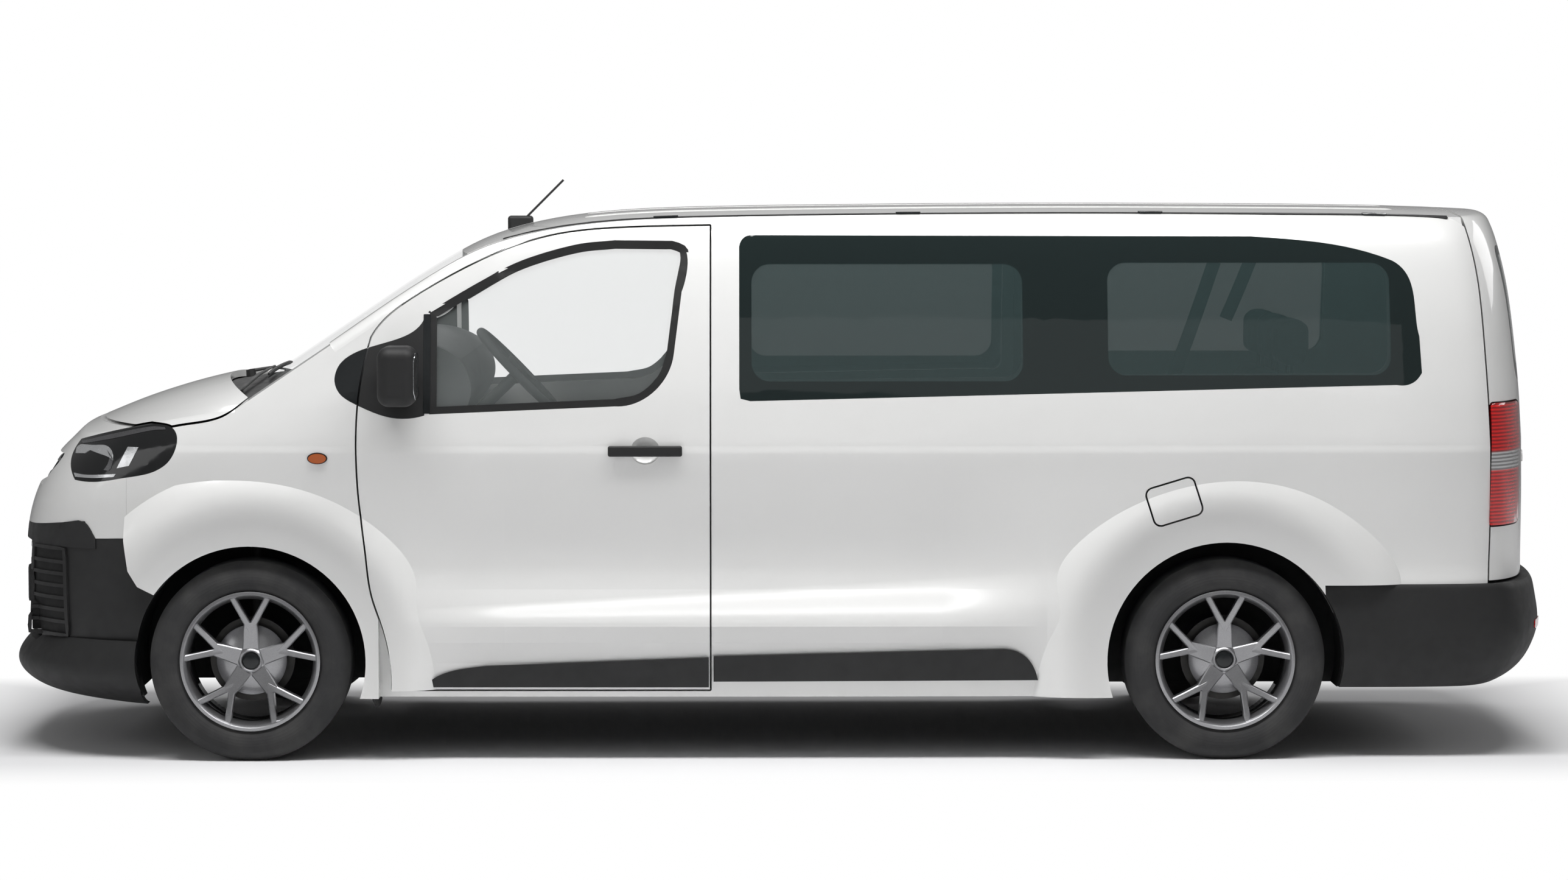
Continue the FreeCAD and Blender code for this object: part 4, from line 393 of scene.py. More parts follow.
plastics = {name: finish_plastic(name, dark, light, rough, cells) for name, dark, light, rough, cells in (
    ("cladding_grey", (0.009, 0.009, 0.0093), (0.014, 0.014, 0.0144), 0.6, 900.0),
    ("gloss_black", (0.006, 0.008, 0.009), (0.010, 0.012, 0.013), 0.16, 60.0),
    ("inner_trim", (0.05, 0.052, 0.054), (0.07, 0.072, 0.075), 0.7, 700.0),
    ("undercoat", (0.006, 0.006, 0.0065), (0.012, 0.012, 0.012), 0.85, 240.0),
    ("lamp_clear", (0.010, 0.0105, 0.011), (0.016, 0.0165, 0.017), 0.10, 40.0),
    ("trim_light", (0.30, 0.305, 0.30), (0.36, 0.365, 0.36), 0.7, 700.0),
    ("seal_rubber", (0.008, 0.008, 0.0085), (0.014, 0.014, 0.014), 0.55, 500.0),
    ("lamp_amber", (0.42, 0.085, 0.010), (0.50, 0.11, 0.014), 0.15, 120.0),
    ("plate_white", (0.70, 0.70, 0.70), (0.76, 0.76, 0.76), 0.45, 200.0),
    ("belt_web", (0.018, 0.019, 0.020), (0.030, 0.031, 0.032), 0.8, 700.0),
)}
cladding, gloss_black, inner_trim = plastics["cladding_grey"], plastics["gloss_black"], plastics["inner_trim"]
undercoat, trim_light, rubber = plastics["undercoat"], plastics["trim_light"], plastics["seal_rubber"]
amber, plate_white, belt_web = plastics["lamp_amber"], plastics["plate_white"], plastics["belt_web"]
print("plastics:", len(plastics))

# %% [markdown]
# ## Tyres
# A tyre's sidewall carries fine moulded rings, and its tread holds dust. The rings follow the distance from
# the axle, so that distance and not a picture decides where they lie. They stop short of the rim and of the
# tread.

# %% Tyre finish
ring_density, ring_inner, ring_outer = 620.0, (0.245, 0.255), (0.318, 0.306)


def finish_tyre():
    """Dusty rubber with moulded rings on the sidewall."""
    r = Recipe("tyre_rubber", (0.035, 0.035, 0.036), 0.8)
    radius = r.pattern(axle_distance)["Radius"]
    dust = r.spread(r.noise(r.place, 9.0, 5.0), 0.42, 0.75)
    r.feed(r.tint(dust, opaque((0.026, 0.026, 0.027)), opaque((0.050, 0.049, 0.048))), "Base Color")
    rings = r.math("SINE", r.math("MULTIPLY", radius, ring_density))
    side = r.math("MULTIPLY", r.spread(radius, *ring_inner), r.spread(radius, *ring_outer))
    ribs = r.math("MULTIPLY", r.spread(rings, 0.2, 0.8), side)
    r.bump(r.math("ADD", ribs, r.math("MULTIPLY", r.noise(r.place, 260.0, 3.0), 0.3)), 0.35, 0.0008)
    return r.material


tyre_rubber = finish_tyre()
print("tyres:", tyre_rubber.name)

# %% [markdown]
# ## Cast wheels
# The wheels are cast alloy under a grey lacquer with metal flakes. Only the face is lacquered bright. Deeper in
# the barrel, towards the vehicle's middle, the colour is painted near black and matt: painted shade that
# darkens the barrel and the gaps between the spokes, so the finish changes with the distance from the vehicle's
# middle. The head rest posts use this finish and stand nearer the middle, so the same painted shade covers
# them.

# %% Wheel finish
# Where the painted shade inside the barrel begins and where it is full, as distances from the vehicle's middle.
barrel_shade_start, barrel_shade_full = 0.862, 0.838


def finish_alloy():
    """Grey lacquer over cast alloy, bright on the face, with painted shade that turns the barrel near black and
    matt.
    """
    r = Recipe("alloy_grey", (0.30, 0.30, 0.31), 0.30, 0.85, Coat_Weight=0.5, Coat_Roughness=0.08)
    out = r.pattern(axle_distance)["Out"]
    flake = r.node("ShaderNodeTexVoronoi", {"Vector": r.place, "Scale": 900.0}).outputs["Color"]
    tone = r.node("ShaderNodeSeparateColor", {0: flake}).outputs[0]
    face = r.tint(tone, opaque((0.30, 0.30, 0.31)), opaque((0.38, 0.38, 0.39)))
    # Painted shade: nearer the middle than the face, the colour fades to near black and the gloss goes matt, in
    # place of the shade deep in the wheel.
    inside = r.spread(out, barrel_shade_start, barrel_shade_full)
    r.feed(r.tint(inside, face, opaque((0.012, 0.012, 0.012))), "Base Color")
    r.feed(r.spread(inside, 0.0, 1.0, 0.85, 0.0), "Metallic")
    r.feed(r.spread(inside, 0.0, 1.0, 0.30, 0.8), "Roughness")
    r.bump(r.noise(r.place, 300.0, 2.0), 0.03, 0.0004)
    return r.material


alloy = finish_alloy()
print("wheels:", alloy.name)

# %% [markdown]
# ## Metals
# The engine, the brake discs and the frame under the floor are bare or painted metal with a thin film of
# dust. The lamp bowls and the mirrors are the same recipe with a brighter tone and less roughness.

# %% Metal finishes
metal_gloss_drift, metal_skin_strength, metal_skin_height = 0.1, 0.2, 0.001


def finish_metal(name, dark, light, rough, metal):
    """Metal with a rolled, slightly dusty skin."""
    r = Recipe(name, dark, rough, metal)
    tone = r.pattern(cloudy_tone, Scale=14.0, Detail=6.0, Dark=opaque(dark), Light=opaque(light))
    gloss = r.pattern(drifting_gloss, Scale=35.0, Detail=4.0, Low=rough - metal_gloss_drift,
                      High=rough + metal_gloss_drift)
    r.feed(tone["Color"], "Base Color")
    r.feed(gloss["Roughness"], "Roughness")
    r.bump(r.noise(r.place, 180.0, 4.0), metal_skin_strength, metal_skin_height)
    return r.material


chassis = finish_metal("chassis_metal", (0.025, 0.025, 0.026), (0.05, 0.049, 0.048), 0.55, 0.4)
engine_metal = finish_metal("engine_metal", (0.12, 0.12, 0.125), (0.2, 0.2, 0.2), 0.5, 0.6)
disc_iron = finish_metal("disc_iron", (0.03, 0.03, 0.03), (0.06, 0.058, 0.055), 0.45, 0.8)
reflector = finish_metal("lamp_reflector", (0.62, 0.63, 0.64), (0.74, 0.75, 0.76), 0.22, 0.7)
reflector_dim = finish_metal("lamp_reflector_dim", (0.10, 0.10, 0.105), (0.16, 0.16, 0.165), 0.3, 0.6)
mirror_silver = finish_metal("mirror_silver", (0.80, 0.82, 0.84), (0.84, 0.86, 0.88), 0.05, 1.0)
print("metals ready")

# %% [markdown]
# ## Glass
# Sheet glass shows by its reflections and its tint, and its surface is never quite flat. The rear panes are
# privacy glass: dark, with a black border printed on that hides the glue. In a thin pane, alpha gives the
# tint without the noise of true refraction, and the window shapes decide where the print ends.

# %% Glass finishes
pane_wave_scale, pane_wave_strength, pane_wave_height = 2.2, 0.02, 0.002
side_windows = ((-0.091, 1.277, 0.817, 1.666), (1.103, 1.296, 2.052, 1.670))
tail_window = ((-0.62, 1.315, 0.62, 1.690),)


def finish_pane(r):
    """What all panes share: blended drawing and a surface that is not quite flat."""
    r.material.surface_render_method = "BLENDED"
    r.bump(r.noise(r.place, pane_wave_scale, 1.0), pane_wave_strength, pane_wave_height)
    return r.material


def finish_privacy_glass(name, axes, windows):
    """Dark glass with a black printed border: clear only inside the given boxes of two axes."""
    r = Recipe(name, (0.02, 0.03, 0.03), 0.03, IOR=1.5, Specular_IOR_Level=0.55)
    apart = r.split(r.place)
    clear = 0.0
    for low_a, low_b, high_a, high_b in windows:
        shape = r.node("ShaderNodeGroup", {
            "A": apart[axes[0]], "B": apart[axes[1]],
            "Centre A": (low_a + high_a) / 2, "Centre B": (low_b + high_b) / 2,
            "Half A": (high_a - low_a) / 2, "Half B": (high_b - low_b) / 2, "Corner": window_corner,
        }, node_tree=window_shape)
        clear = r.math("MAXIMUM", clear, shape.outputs["Inside"])
    r.feed(r.tint(clear, opaque((0.009, 0.016, 0.016)), opaque((0.036, 0.060, 0.060))), "Base Color")
    r.feed(r.spread(clear, 0.0, 1.0, 1.0, 0.60), "Alpha")
    return finish_pane(r)


glass_clear = finish_pane(Recipe("glass_clear", (0.60, 0.66, 0.65), 0.02, IOR=1.5, Alpha=0.08,
                                 Specular_IOR_Level=0.6))
glass_dark = finish_privacy_glass("glass_dark", "XZ", side_windows)
glass_tail = finish_privacy_glass("glass_tail", "YZ", tail_window)
print("glass ready")

# %% [markdown]
# ## Rear lamp lens
# The lens is red above and below a clear band, with fine level lines moulded inside. Height alone decides the
# colours, so the same material serves both lamps, the reflectors and the third brake light.

# %% Rear lamp finish
lens_band_foot, lens_band_top, lens_line_scale = (0.972, 0.978), (1.040, 1.034), 26.0


def finish_tail_lamp():
    """Red above and below a clear band, with fine lines moulded inside."""
    r = Recipe("lamp_red", (0.2, 0.004, 0.005), 0.12, Coat_Weight=1.0, Coat_Roughness=0.03)
    z = r.split(r.place)["Z"]
    band = r.math("MULTIPLY", r.spread(z, *lens_band_foot), r.spread(z, *lens_band_top))
    wave = r.node("ShaderNodeTexWave", {"Vector": r.place, "Scale": lens_line_scale, "Distortion": 0.4},
                  bands_direction="Z")
    lines = r.spread(wave.outputs["Fac"], 0.35, 0.65)
    red = r.tint(lines, opaque((0.30, 0.002, 0.003)), opaque((0.78, 0.010, 0.010)))
    grey = r.tint(lines, opaque((0.20, 0.20, 0.20)), opaque((0.55, 0.55, 0.55)))
    r.feed(r.tint(band, red, grey), "Base Color")
    r.bump(lines, 0.2, 0.001)
    return r.material


lamp_red = finish_tail_lamp()
print("rear lamps:", lamp_red.name)

# %% [markdown]
# ## Seat cloth
# The seats wear a dark woven cloth. Two crossed waves stand for the warp and the weft, and a little sheen
# lights the fibres at a flat angle.

# %% Cloth finish
thread_scale, thread_strength, thread_height = 160.0, 0.3, 0.001


def finish_fabric():
    """Woven seat cloth."""
    r = Recipe("seat_cloth", (0.022, 0.032, 0.033), 0.9, Sheen_Weight=0.3)
    warp, weft = (r.node("ShaderNodeTexWave", {"Vector": r.place, "Scale": thread_scale},
                         bands_direction=way).outputs["Fac"] for way in "XZ")
    tone = r.pattern(cloudy_tone, Scale=30.0, Detail=4.0, Dark=opaque((0.018, 0.027, 0.028)),
                     Light=opaque((0.034, 0.045, 0.046)))
    r.feed(tone["Color"], "Base Color")
    r.bump(r.math("MULTIPLY", warp, weft), thread_strength, thread_height)
    return r.material


seat_cloth = finish_fabric()
print("seats:", seat_cloth.name)

# %% [markdown]
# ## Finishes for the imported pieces
# The model's record names a kind of material for each node. One table turns that kind into a finish, and a
# few nodes that differ from their kind are dressed again by name: the rear pane and the pale trim of the side
# frames.

# %% Dress the nodes
node_finish = {
    "paint": paint, "cladding": cladding, "gloss_black": gloss_black, "glass_clear": glass_clear,
    "glass_dark": glass_dark, "inner_trim": inner_trim, "seat_fabric": seat_cloth, "lamp_red": lamp_red,
    "lamp_clear": plastics["lamp_clear"], "undercoat": undercoat, "chassis_metal": chassis,
    "engine_metal": engine_metal, "alloy": alloy, "tyre_rubber": tyre_rubber, "disc_iron": disc_iron,
}
slot_of = {row["node"]: row["material_slot"] for row in frame["record"]["subparts"]}
own_finish = {"tail_glass": glass_tail, "side_frame_left": trim_light, "side_frame_right": trim_light}

for node_name, slot_name in slot_of.items():
    node_mesh = nodes[node_name].data
    node_mesh.materials.clear()
    node_mesh.materials.append(own_finish.get(node_name, node_finish[slot_name]))
print("nodes dressed:", len(slot_of))

# %% [markdown]
# ## Modelling tools
# Every new piece is modelled as by hand: a circle or a cube is added, its corners are moved to places
# measured on the vehicle, and it is shaped in edit mode. Most forms are either one outline, or a row of
# sections joined by extruding the last face and moving it on. Each piece then rides on the body that carries
# it.

# %% Starting, extruding and finishing a piece
sides = {"left": -1.0, "right": 1.0}
merge_distance, closing_distance, shade_angle = 1e-6, 1e-4, 35.0


def pick(piece):
    """Selects one piece alone."""
    bpy.ops.object.select_all(action="DESELECT")
    piece.select_set(True)
    bpy.context.view_layer.objects.active = piece


def open_mesh(piece):
    """Opens one piece in edit mode, selected all over."""
    pick(piece)
    bpy.ops.object.mode_set(mode="EDIT")
    bpy.ops.mesh.select_all(action="SELECT")


def close_mesh():
    """Leaves edit mode."""
    bpy.ops.object.mode_set(mode="OBJECT")


def start_piece(name, places, filled=True):
    """A circle whose corners are moved to the given places: one face, or a bare loop of edges."""
    bpy.ops.object.select_all(action="DESELECT")
    bpy.ops.mesh.primitive_circle_add(vertices=len(places), fill_type="NGON" if filled else "NOTHING")
    piece = bpy.context.object
    piece.name = piece.data.name = name
    for vert, place in zip(piece.data.vertices, places):
        vert.co = place
    return piece


def extrude_to(piece, places):
    """Extrudes what is selected and moves the new corners, in their order, to the given places."""
    bpy.ops.object.mode_set(mode="EDIT")
    bpy.ops.mesh.extrude_region()
    close_mesh()
    for vert, place in zip([v for v in piece.data.vertices if v.select], places):
        vert.co = place


def loft(name, rings):
    """A closed bar through some rings of corners."""
    piece = start_piece(name, rings[0])
    for ring in rings[1:]:
        extrude_to(piece, ring)
    return piece


def join(pieces):
    """Joins some pieces to the first one."""
    bpy.ops.object.select_all(action="DESELECT")
    for piece in pieces:
        piece.select_set(True)
    bpy.context.view_layer.objects.active = pieces[0]
    bpy.ops.object.join()
    return pieces[0]


def copy_of(piece, name):
    """A copy with its own mesh."""
    pick(piece)
    bpy.ops.object.duplicate()
    copy = bpy.context.object
    copy.name = copy.data.name = name
    return copy


def apply_modifier(piece, kind, **settings):
    """Adds one modifier and applies it."""
    pick(piece)
    modifier = piece.modifiers.new(kind.lower(), kind)
    for key, value in settings.items():
        setattr(modifier, key, value)
    bpy.ops.object.modifier_apply(modifier=modifier.name)


def finish_piece(piece, material, body, degrees=shade_angle):
    """Turns the faces outwards, checked by the volume they enclose, adds the shading and the material, and
    lets the piece ride on its body."""
    open_mesh(piece)
    bpy.ops.mesh.normals_make_consistent(inside=False)
    close_mesh()
    if sum(face.center.dot(face.normal) * face.area for face in piece.data.polygons) < 0:
        piece.data.flip_normals()
    bpy.ops.object.shade_smooth_by_angle(angle=math.radians(degrees))
    piece.data.materials.append(material)
    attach(piece, body)
    return piece


def pair_up(make):
    """Makes a piece for the left and one for the right."""
    made = [make(word, side) for word, side in sides.items()]
    print(make.__name__, "made for", " and ".join(sides))
    return made


print("modelling tools ready")

# %% [markdown]
# ## Outlines
# The outline of a piece is drawn as in a sketch: straight where two points follow each other, and a smooth
# curve where a part holds several. Windows and lamps need such free lines. Plates and strips are rectangles
# with round corners, and lenses are ellipses.

# %% Outlines
def trace(parts, pitch=0.02):
    """Points along an outline: each part runs on from the last point, straight if it holds one point and as a
    smooth curve if it holds more."""
    line = [Vector(parts[0][0])]
    for part in parts:
        stops = [line[-1]] + [Vector(p) for p in part if (Vector(p) - line[-1]).length > merge_distance]
        for i in range(len(stops) - 1):
            a, b = stops[i], stops[i + 1]
            before = stops[i - 1] if i else a + (a - b)
            after = stops[i + 2] if i + 2 < len(stops) else b + (b - a)
            count = max(1, round((b - a).length / pitch))
            for k in range(1, count + 1):
                t = k / count
                line.append(0.5 * (2 * a + (b - before) * t + (2 * before - 5 * a + 4 * b - after) * t * t
                                   + (3 * a - before - 3 * b + after) * t * t * t))
    if (line[-1] - line[0]).length < closing_distance:
        line.pop()
    return line


def inset(line, reach):
    """A closed outline moved inwards."""
    area = sum(a.x * b.y - b.x * a.y for a, b in zip(line, line[1:] + line[:1]))
    turn = 1.0 if area > 0 else -1.0
    moved = []
    for i, here in enumerate(line):
        along = (line[(i + 1) % len(line)] - line[i - 1]).normalized()
        moved.append(here + Vector((-along.y, along.x)) * turn * reach)
    return moved


def box_outline(low, high, corner, steps=5):
    """A rectangle with round corners."""
    (x0, z0), (x1, z1) = low, high
    line = []
    for cx, cz, start in ((x1 - corner, z0 + corner, -90), (x1 - corner, z1 - corner, 0),
                          (x0 + corner, z1 - corner, 90), (x0 + corner, z0 + corner, 180)):
        for k in range(steps + 1):
            angle = math.radians(start + 90 * k / steps)
            line.append(Vector((cx + corner * math.cos(angle), cz + corner * math.sin(angle))))
    return line


def ellipse(centre, reach_a, reach_b, steps=24):
    """A round outline."""
    return [Vector((centre[0] + reach_a * math.cos(math.tau * k / steps),
                    centre[1] + reach_b * math.sin(math.tau * k / steps))) for k in range(steps)]


print("outlines ready")

# %% [markdown]
# ## Draping
# Seals, strips, plates and lamp reflectors follow the bodywork. Each one starts as a flat outline in front of
# the vehicle. It is bisected into a grid, every point of the grid is shot at the bodywork, and the landed
# sheet is extruded along its own normals. Shrinkwrap would land it too, but only on one object, and these
# sheets cross the seams between several panels.

# %% Tools for draping
looks = {
    "left": (Vector((1, 0, 0)), Vector((0, 0, 1)), Vector((0, -1, 0))),
    "right": (Vector((1, 0, 0)), Vector((0, 0, 1)), Vector((0, 1, 0))),
    "front": (Vector((0, 1, 0)), Vector((0, 0, 1)), Vector((-1, 0, 0))),
    "back": (Vector((0, 1, 0)), Vector((0, 0, 1)), Vector((1, 0, 0))),
    "top": (Vector((1, 0, 0)), Vector((0, 1, 0)), Vector((0, 0, 1))),
}
start_distance, landed_merge = 4.0, 1e-5


def skin_of(*names):
    """A tree for casting rays at some nodes, as they stand at rest."""
    points, faces = [], []
    for name in names:
        mesh, place = nodes[name].data, nodes[name].matrix_world
        first = len(points)
        points += [place @ v.co for v in mesh.vertices]
        faces += [[first + i for i in p.vertices] for p in mesh.polygons]
    return BVHTree.FromPolygons(points, faces)


def in_view(look, point):
    """A point of a flat outline, placed in one view."""
    across_axis, up_axis, _ = looks[look]
    return across_axis * point[0] + up_axis * point[1]


def cut_grid(outline, look, pitch):
    """Bisects the open mesh along both axes of a view, then splits faces of more than four corners."""
    for axis, values in zip(looks[look], ([p[0] for p in outline], [p[1] for p in outline])):
        place = min(values) + pitch
        while place < max(values):
            bpy.ops.mesh.select_all(action="SELECT")
            bpy.ops.mesh.bisect(plane_co=axis * place, plane_no=axis, threshold=merge_distance)
            place += pitch
    bpy.ops.mesh.select_mode(type="FACE")
    bpy.ops.mesh.select_all(action="DESELECT")
    bpy.ops.mesh.select_face_by_sides(number=4, type="GREATER")
    bpy.ops.mesh.quads_convert_to_tris(quad_method="BEAUTY", ngon_method="BEAUTY")
    bpy.ops.mesh.select_mode(type="VERT")


def land(piece, skin, out):
    """Shoots each point at the skin; a point that misses takes the depth of the nearest one that landed."""
    verts = piece.data.vertices
    flat = [v.co.copy() for v in verts]
    depths = {}
    for i, place in enumerate(flat):
        spot = skin.ray_cast(place + out * start_distance, -out)[0]
        if spot:
            depths[i] = spot.dot(out)
    if not depths:
        raise ValueError(piece.name + " lies beside its skin")
    for i, place in enumerate(flat):
        landed = i if i in depths else min(depths, key=lambda k: (flat[k] - place).length)
        verts[i].co = place + out * depths[landed]


def outward_normals(mesh, out):
    """The mean normal of the faces round each point, on the outer side."""
    mesh.update()
    totals = [Vector() for _ in mesh.vertices]
    for face in mesh.polygons:
        for i in face.vertices:
            totals[i] += face.normal * face.area
    normals = [total.normalized() for total in totals]
    turn = -1.0 if sum(n.dot(out) for n in normals) < 0 else 1.0
    return [n * turn for n in normals]


def drape(name, body, material, skin, look, outline, thick, hole=None, pitch=0.05, lift=-0.001):
    """A sheet laid on a skin: its outline lies in one view, and it may have a hole."""
    out = looks[look][2]
    piece = start_piece(name, [in_view(look, p) for p in outline], filled=not hole)
    if hole:
        extrude_to(piece, [in_view(look, p) for p in hole])
    open_mesh(piece)
    cut_grid(outline, look, pitch)
    close_mesh()
    land(piece, skin, out)
    open_mesh(piece)
    bpy.ops.mesh.remove_doubles(threshold=landed_merge)
    close_mesh()
    rise = {}
    for vert, normal in zip(piece.data.vertices, outward_normals(piece.data, out)):
        vert.co += normal * lift
        rise[vert.co.copy().freeze()] = normal * (thick - lift)
    open_mesh(piece)
    bpy.ops.mesh.extrude_region()
    close_mesh()
    for vert in piece.data.vertices:
        if vert.select:
            vert.co += rise[vert.co.copy().freeze()]
    return finish_piece(piece, material, body)


print("draping tools ready")

# %% [markdown]
# ## Window seals
# The driver's pane sits a finger's width behind the door's skin, inside a black rubber seal. The seal is a
# ring laid on the pane and thick enough to fill most of that step.

# %% Seals round the front windows
seal_width, seal_thick, seal_reach = 0.024, 0.009, 0.005
door_window = [[(-1.168, 1.1675)], [(-0.549, 1.194)], [(-0.455, 1.216), (-0.382, 1.284), (-0.351, 1.368)],
               [(-0.325, 1.575)], [(-0.305, 1.685), (-0.318, 1.724), (-0.358, 1.739)], [(-0.549, 1.741)],
               [(-0.683, 1.726), (-0.860, 1.674), (-1.004, 1.601), (-1.168, 1.5045)], [(-1.168, 1.1675)]]


def add_window_seal(word, side):
    """The rubber ring round one front pane."""
    line = trace(door_window)
    return drape("window_seal_" + word, "door_" + word, rubber, skin_of("door_glass_" + word), word,
                 inset(line, -seal_reach), seal_thick, hole=inset(line, seal_width), pitch=0.12, lift=0.0)


pair_up(add_window_seal)

# %% [markdown]
# ## The sail's strip
# The black sail that carries the mirror runs up to the window without a gap. A thin strip of the same gloss
# black, laid over the mirror's foot and the door, closes what would show as a white line.

# %% Strip between the mirror's sail and the window
sail_strip_low, sail_strip_high, sail_strip_thick = (-1.1885, 1.170), (-1.1655, 1.500), 0.0012


def add_sail_strip(word, side):
    """The black strip that closes the gap between the mirror's sail and the front window."""
    line = box_outline(sail_strip_low, sail_strip_high, 0.003, 3)
    return drape("sail_strip_" + word, "door_" + word, gloss_black, skin_of("mirror_" + word, "door_" + word),
                 word, line, sail_strip_thick)


pair_up(add_sail_strip)

# %% [markdown]
# ## Roof strips
# A narrow strip covers the weld between the roof and each side. It carries covers for the four rack points.
# Both are draped from above over the roof and the side together, because the seam lies between them.

# %% Roof strips and rack point covers
strip_y, strip_width, strip_thick = 0.700, 0.019, 0.004
strip_front_x, strip_back_x, strip_corner = -0.930, 2.270, strip_width * 0.45
rack_points = (-0.38, 0.44, 1.26, 2.02)
rack_reach, rack_corner, rack_thick = (0.042, 0.0125), 0.010, 0.0075


def add_roof_strip(word, side):
    """The strip over one roof seam."""
    skin = skin_of("roof_panel", "side_panel_" + word, "side_frame_" + word)
    low, high = side * strip_y - strip_width / 2, side * strip_y + strip_width / 2
    line = box_outline((strip_front_x, low), (strip_back_x, high), strip_corner)
    return drape("roof_strip_" + word, "body_shell", cladding, skin, "top", line, strip_thick, pitch=0.1)


def add_rack_covers(word, side):
    """The four covers on one strip."""
    skin = skin_of("roof_panel", "side_panel_" + word, "side_frame_" + word)
    reach = Vector(rack_reach)
    for number, x in enumerate(rack_points):
        place = Vector((x, side * strip_y))
        line = box_outline(place - reach, place + reach, rack_corner)
        drape(f"rack_cover_{word}_{number}", "body_shell", gloss_black, skin, "top", line, rack_thick,
              pitch=0.03)


pair_up(add_roof_strip)
pair_up(add_rack_covers)

# %% [markdown]
# ## Headlamps
# Behind the clear cover the real lamp is a dark housing with a bright bowl, a light strip below and a slanted
# plate that serves as the indicator. They are laid on the lamp's face as thin inserts, which show the lamp's
# drawing without a second shell inside it.

# %% Headlamp inserts
lamp_bowl = [[(-2.396, 1.034)],
             [(-2.380, 1.045), (-2.328, 1.048), (-2.276, 1.051), (-2.249, 1.034), (-2.243, 1.004)],
             [(-2.254, 1.012)], [(-2.276, 1.019), (-2.310, 1.026), (-2.336, 1.032)], [(-2.356, 1.020)],
             [(-2.396, 1.017)], [(-2.396, 1.034)]]
lamp_strip = [[(-2.392, 0.955)], [(-2.336, 0.952), (-2.231, 0.960)], [(-2.239, 0.950)],
              [(-2.310, 0.943), (-2.385, 0.942)], [(-2.392, 0.955)]]
lamp_plate = [[(-2.191, 1.051)], [(-2.152, 1.051)], [(-2.184, 0.989)], [(-2.228, 0.979)], [(-2.191, 1.051)]]
lamp_arc = [[(-2.267, 1.036)], [(-2.244, 1.010), (-2.249, 0.978)], [(-2.258, 0.970)], [(-2.277, 0.971)],
            [(-2.262, 0.991), (-2.256, 1.017)], [(-2.267, 1.036)]]
lamp_brow = [[(-2.382, 1.055)], [(-2.249, 1.090), (-2.119, 1.118), (-2.063, 1.119)], [(-2.058, 1.112)],
             [(-2.119, 1.105), (-2.249, 1.075), (-2.371, 1.049)], [(-2.382, 1.055)]]
lamp_parts = (("bowl", lamp_bowl, reflector), ("strip", lamp_strip, reflector),
              ("plate", lamp_plate, reflector), ("arc", lamp_arc, reflector_dim),
              ("brow", lamp_brow, reflector_dim))
insert_pitch, insert_thick, insert_lift = 0.012, 0.0016, -0.002


def add_lamp_inserts(word, side):
    """The bright parts of one headlamp."""
    skin = skin_of("headlamps")
    for label, parts, material in lamp_parts:
        drape(f"lamp_{label}_{word}", "body_shell", material, skin, word, trace(parts, insert_pitch),
              insert_thick, pitch=0.03, lift=insert_lift)


pair_up(add_lamp_inserts)

# %% [markdown]
# ## Bumper pockets
# Each corner of the front bumper has a slatted air pocket: a dark floor, a raised frame and level slats. They
# lie on the bumper's skin, and the slats follow the slanted sides of the pocket, so their ends are worked out
# from its four corners.

# %% Slatted pockets and the bumper's raised shoulders
pocket_corners = [(-2.541, 0.693), (-2.424, 0.693), (-2.412, 0.412), (-2.556, 0.412)]
pocket_slats, pocket_frame, slat_over, slat_half, slat_corner = 6, 0.012, 0.002, 0.006, 0.003
pocket_floor_thick, pocket_frame_thick, slat_thick, shoulder_thick = 0.0012, 0.009, 0.008, 0.004
bumper_shoulder = [[(-2.560, 0.738)], [(-2.522, 0.765), (-2.450, 0.783), (-2.368, 0.799)],
                   [(-2.335, 0.788), (-2.304, 0.738)], [(-2.304, 0.705)], [(-2.560, 0.705)],
                   [(-2.560, 0.738)]]


def add_pocket(word, side):
    """One slatted pocket and the shoulder above it."""
    skin = skin_of("front_bumper", "fenders", "front_fascia")
    line = trace([[p] for p in pocket_corners + pocket_corners[:1]])
    drape("pocket_floor_" + word, "body_shell", undercoat, skin, word, line, pocket_floor_thick, pitch=0.03)
    drape("pocket_frame_" + word, "body_shell", cladding, skin, word, inset(line, -pocket_frame),
          pocket_frame_thick, hole=line, pitch=0.03)
    top_front, top_back, foot_back, foot_front = [Vector(p) for p in pocket_corners]
    over = Vector((slat_over, slat_half))
    for k in range(1, pocket_slats + 1):
        share = k / (pocket_slats + 1)
        start, end = top_front.lerp(foot_front, share), top_back.lerp(foot_back, share)
        slat = box_outline(start - over, end + over, slat_corner, 3)
        drape(f"pocket_slat_{word}_{k}", "body_shell", cladding, skin, word, slat, slat_thick, pitch=0.03)
    return drape("bumper_shoulder_" + word, "body_shell", cladding, skin, word, trace(bumper_shoulder),
                 shoulder_thick, pitch=0.03)


pair_up(add_pocket)

# %% [markdown]
# ## Side repeaters
# The side repeater is an amber lens on the fender, in a dark rim. Both are ellipses draped on the fender, the
# lens thicker than its rim.

# %% Side repeaters
repeater_place = (-1.542, 1.021)
repeater_rim, repeater_rim_thick = (0.034, 0.0195), 0.003
repeater_lens, repeater_lens_thick = (0.030, 0.0160), 0.0075


def add_repeater(word, side):
    """The amber lens on one fender, with its dark rim."""
    skin = skin_of("fenders")
    drape("repeater_rim_" + word, "body_shell", cladding, skin, word, ellipse(repeater_place, *repeater_rim),
          repeater_rim_thick, pitch=0.02)
    return drape("repeater_" + word, "body_shell", amber, skin, word, ellipse(repeater_place, *repeater_lens),
                 repeater_lens_thick, pitch=0.012)


pair_up(add_repeater)

# %% [markdown]
# ## Mud flaps
# Behind each front wheel hangs a rubber flap that bends back towards its foot. A grid is the natural start:
# its rows are moved to the curve, and Solidify gives it the thickness of the rubber.

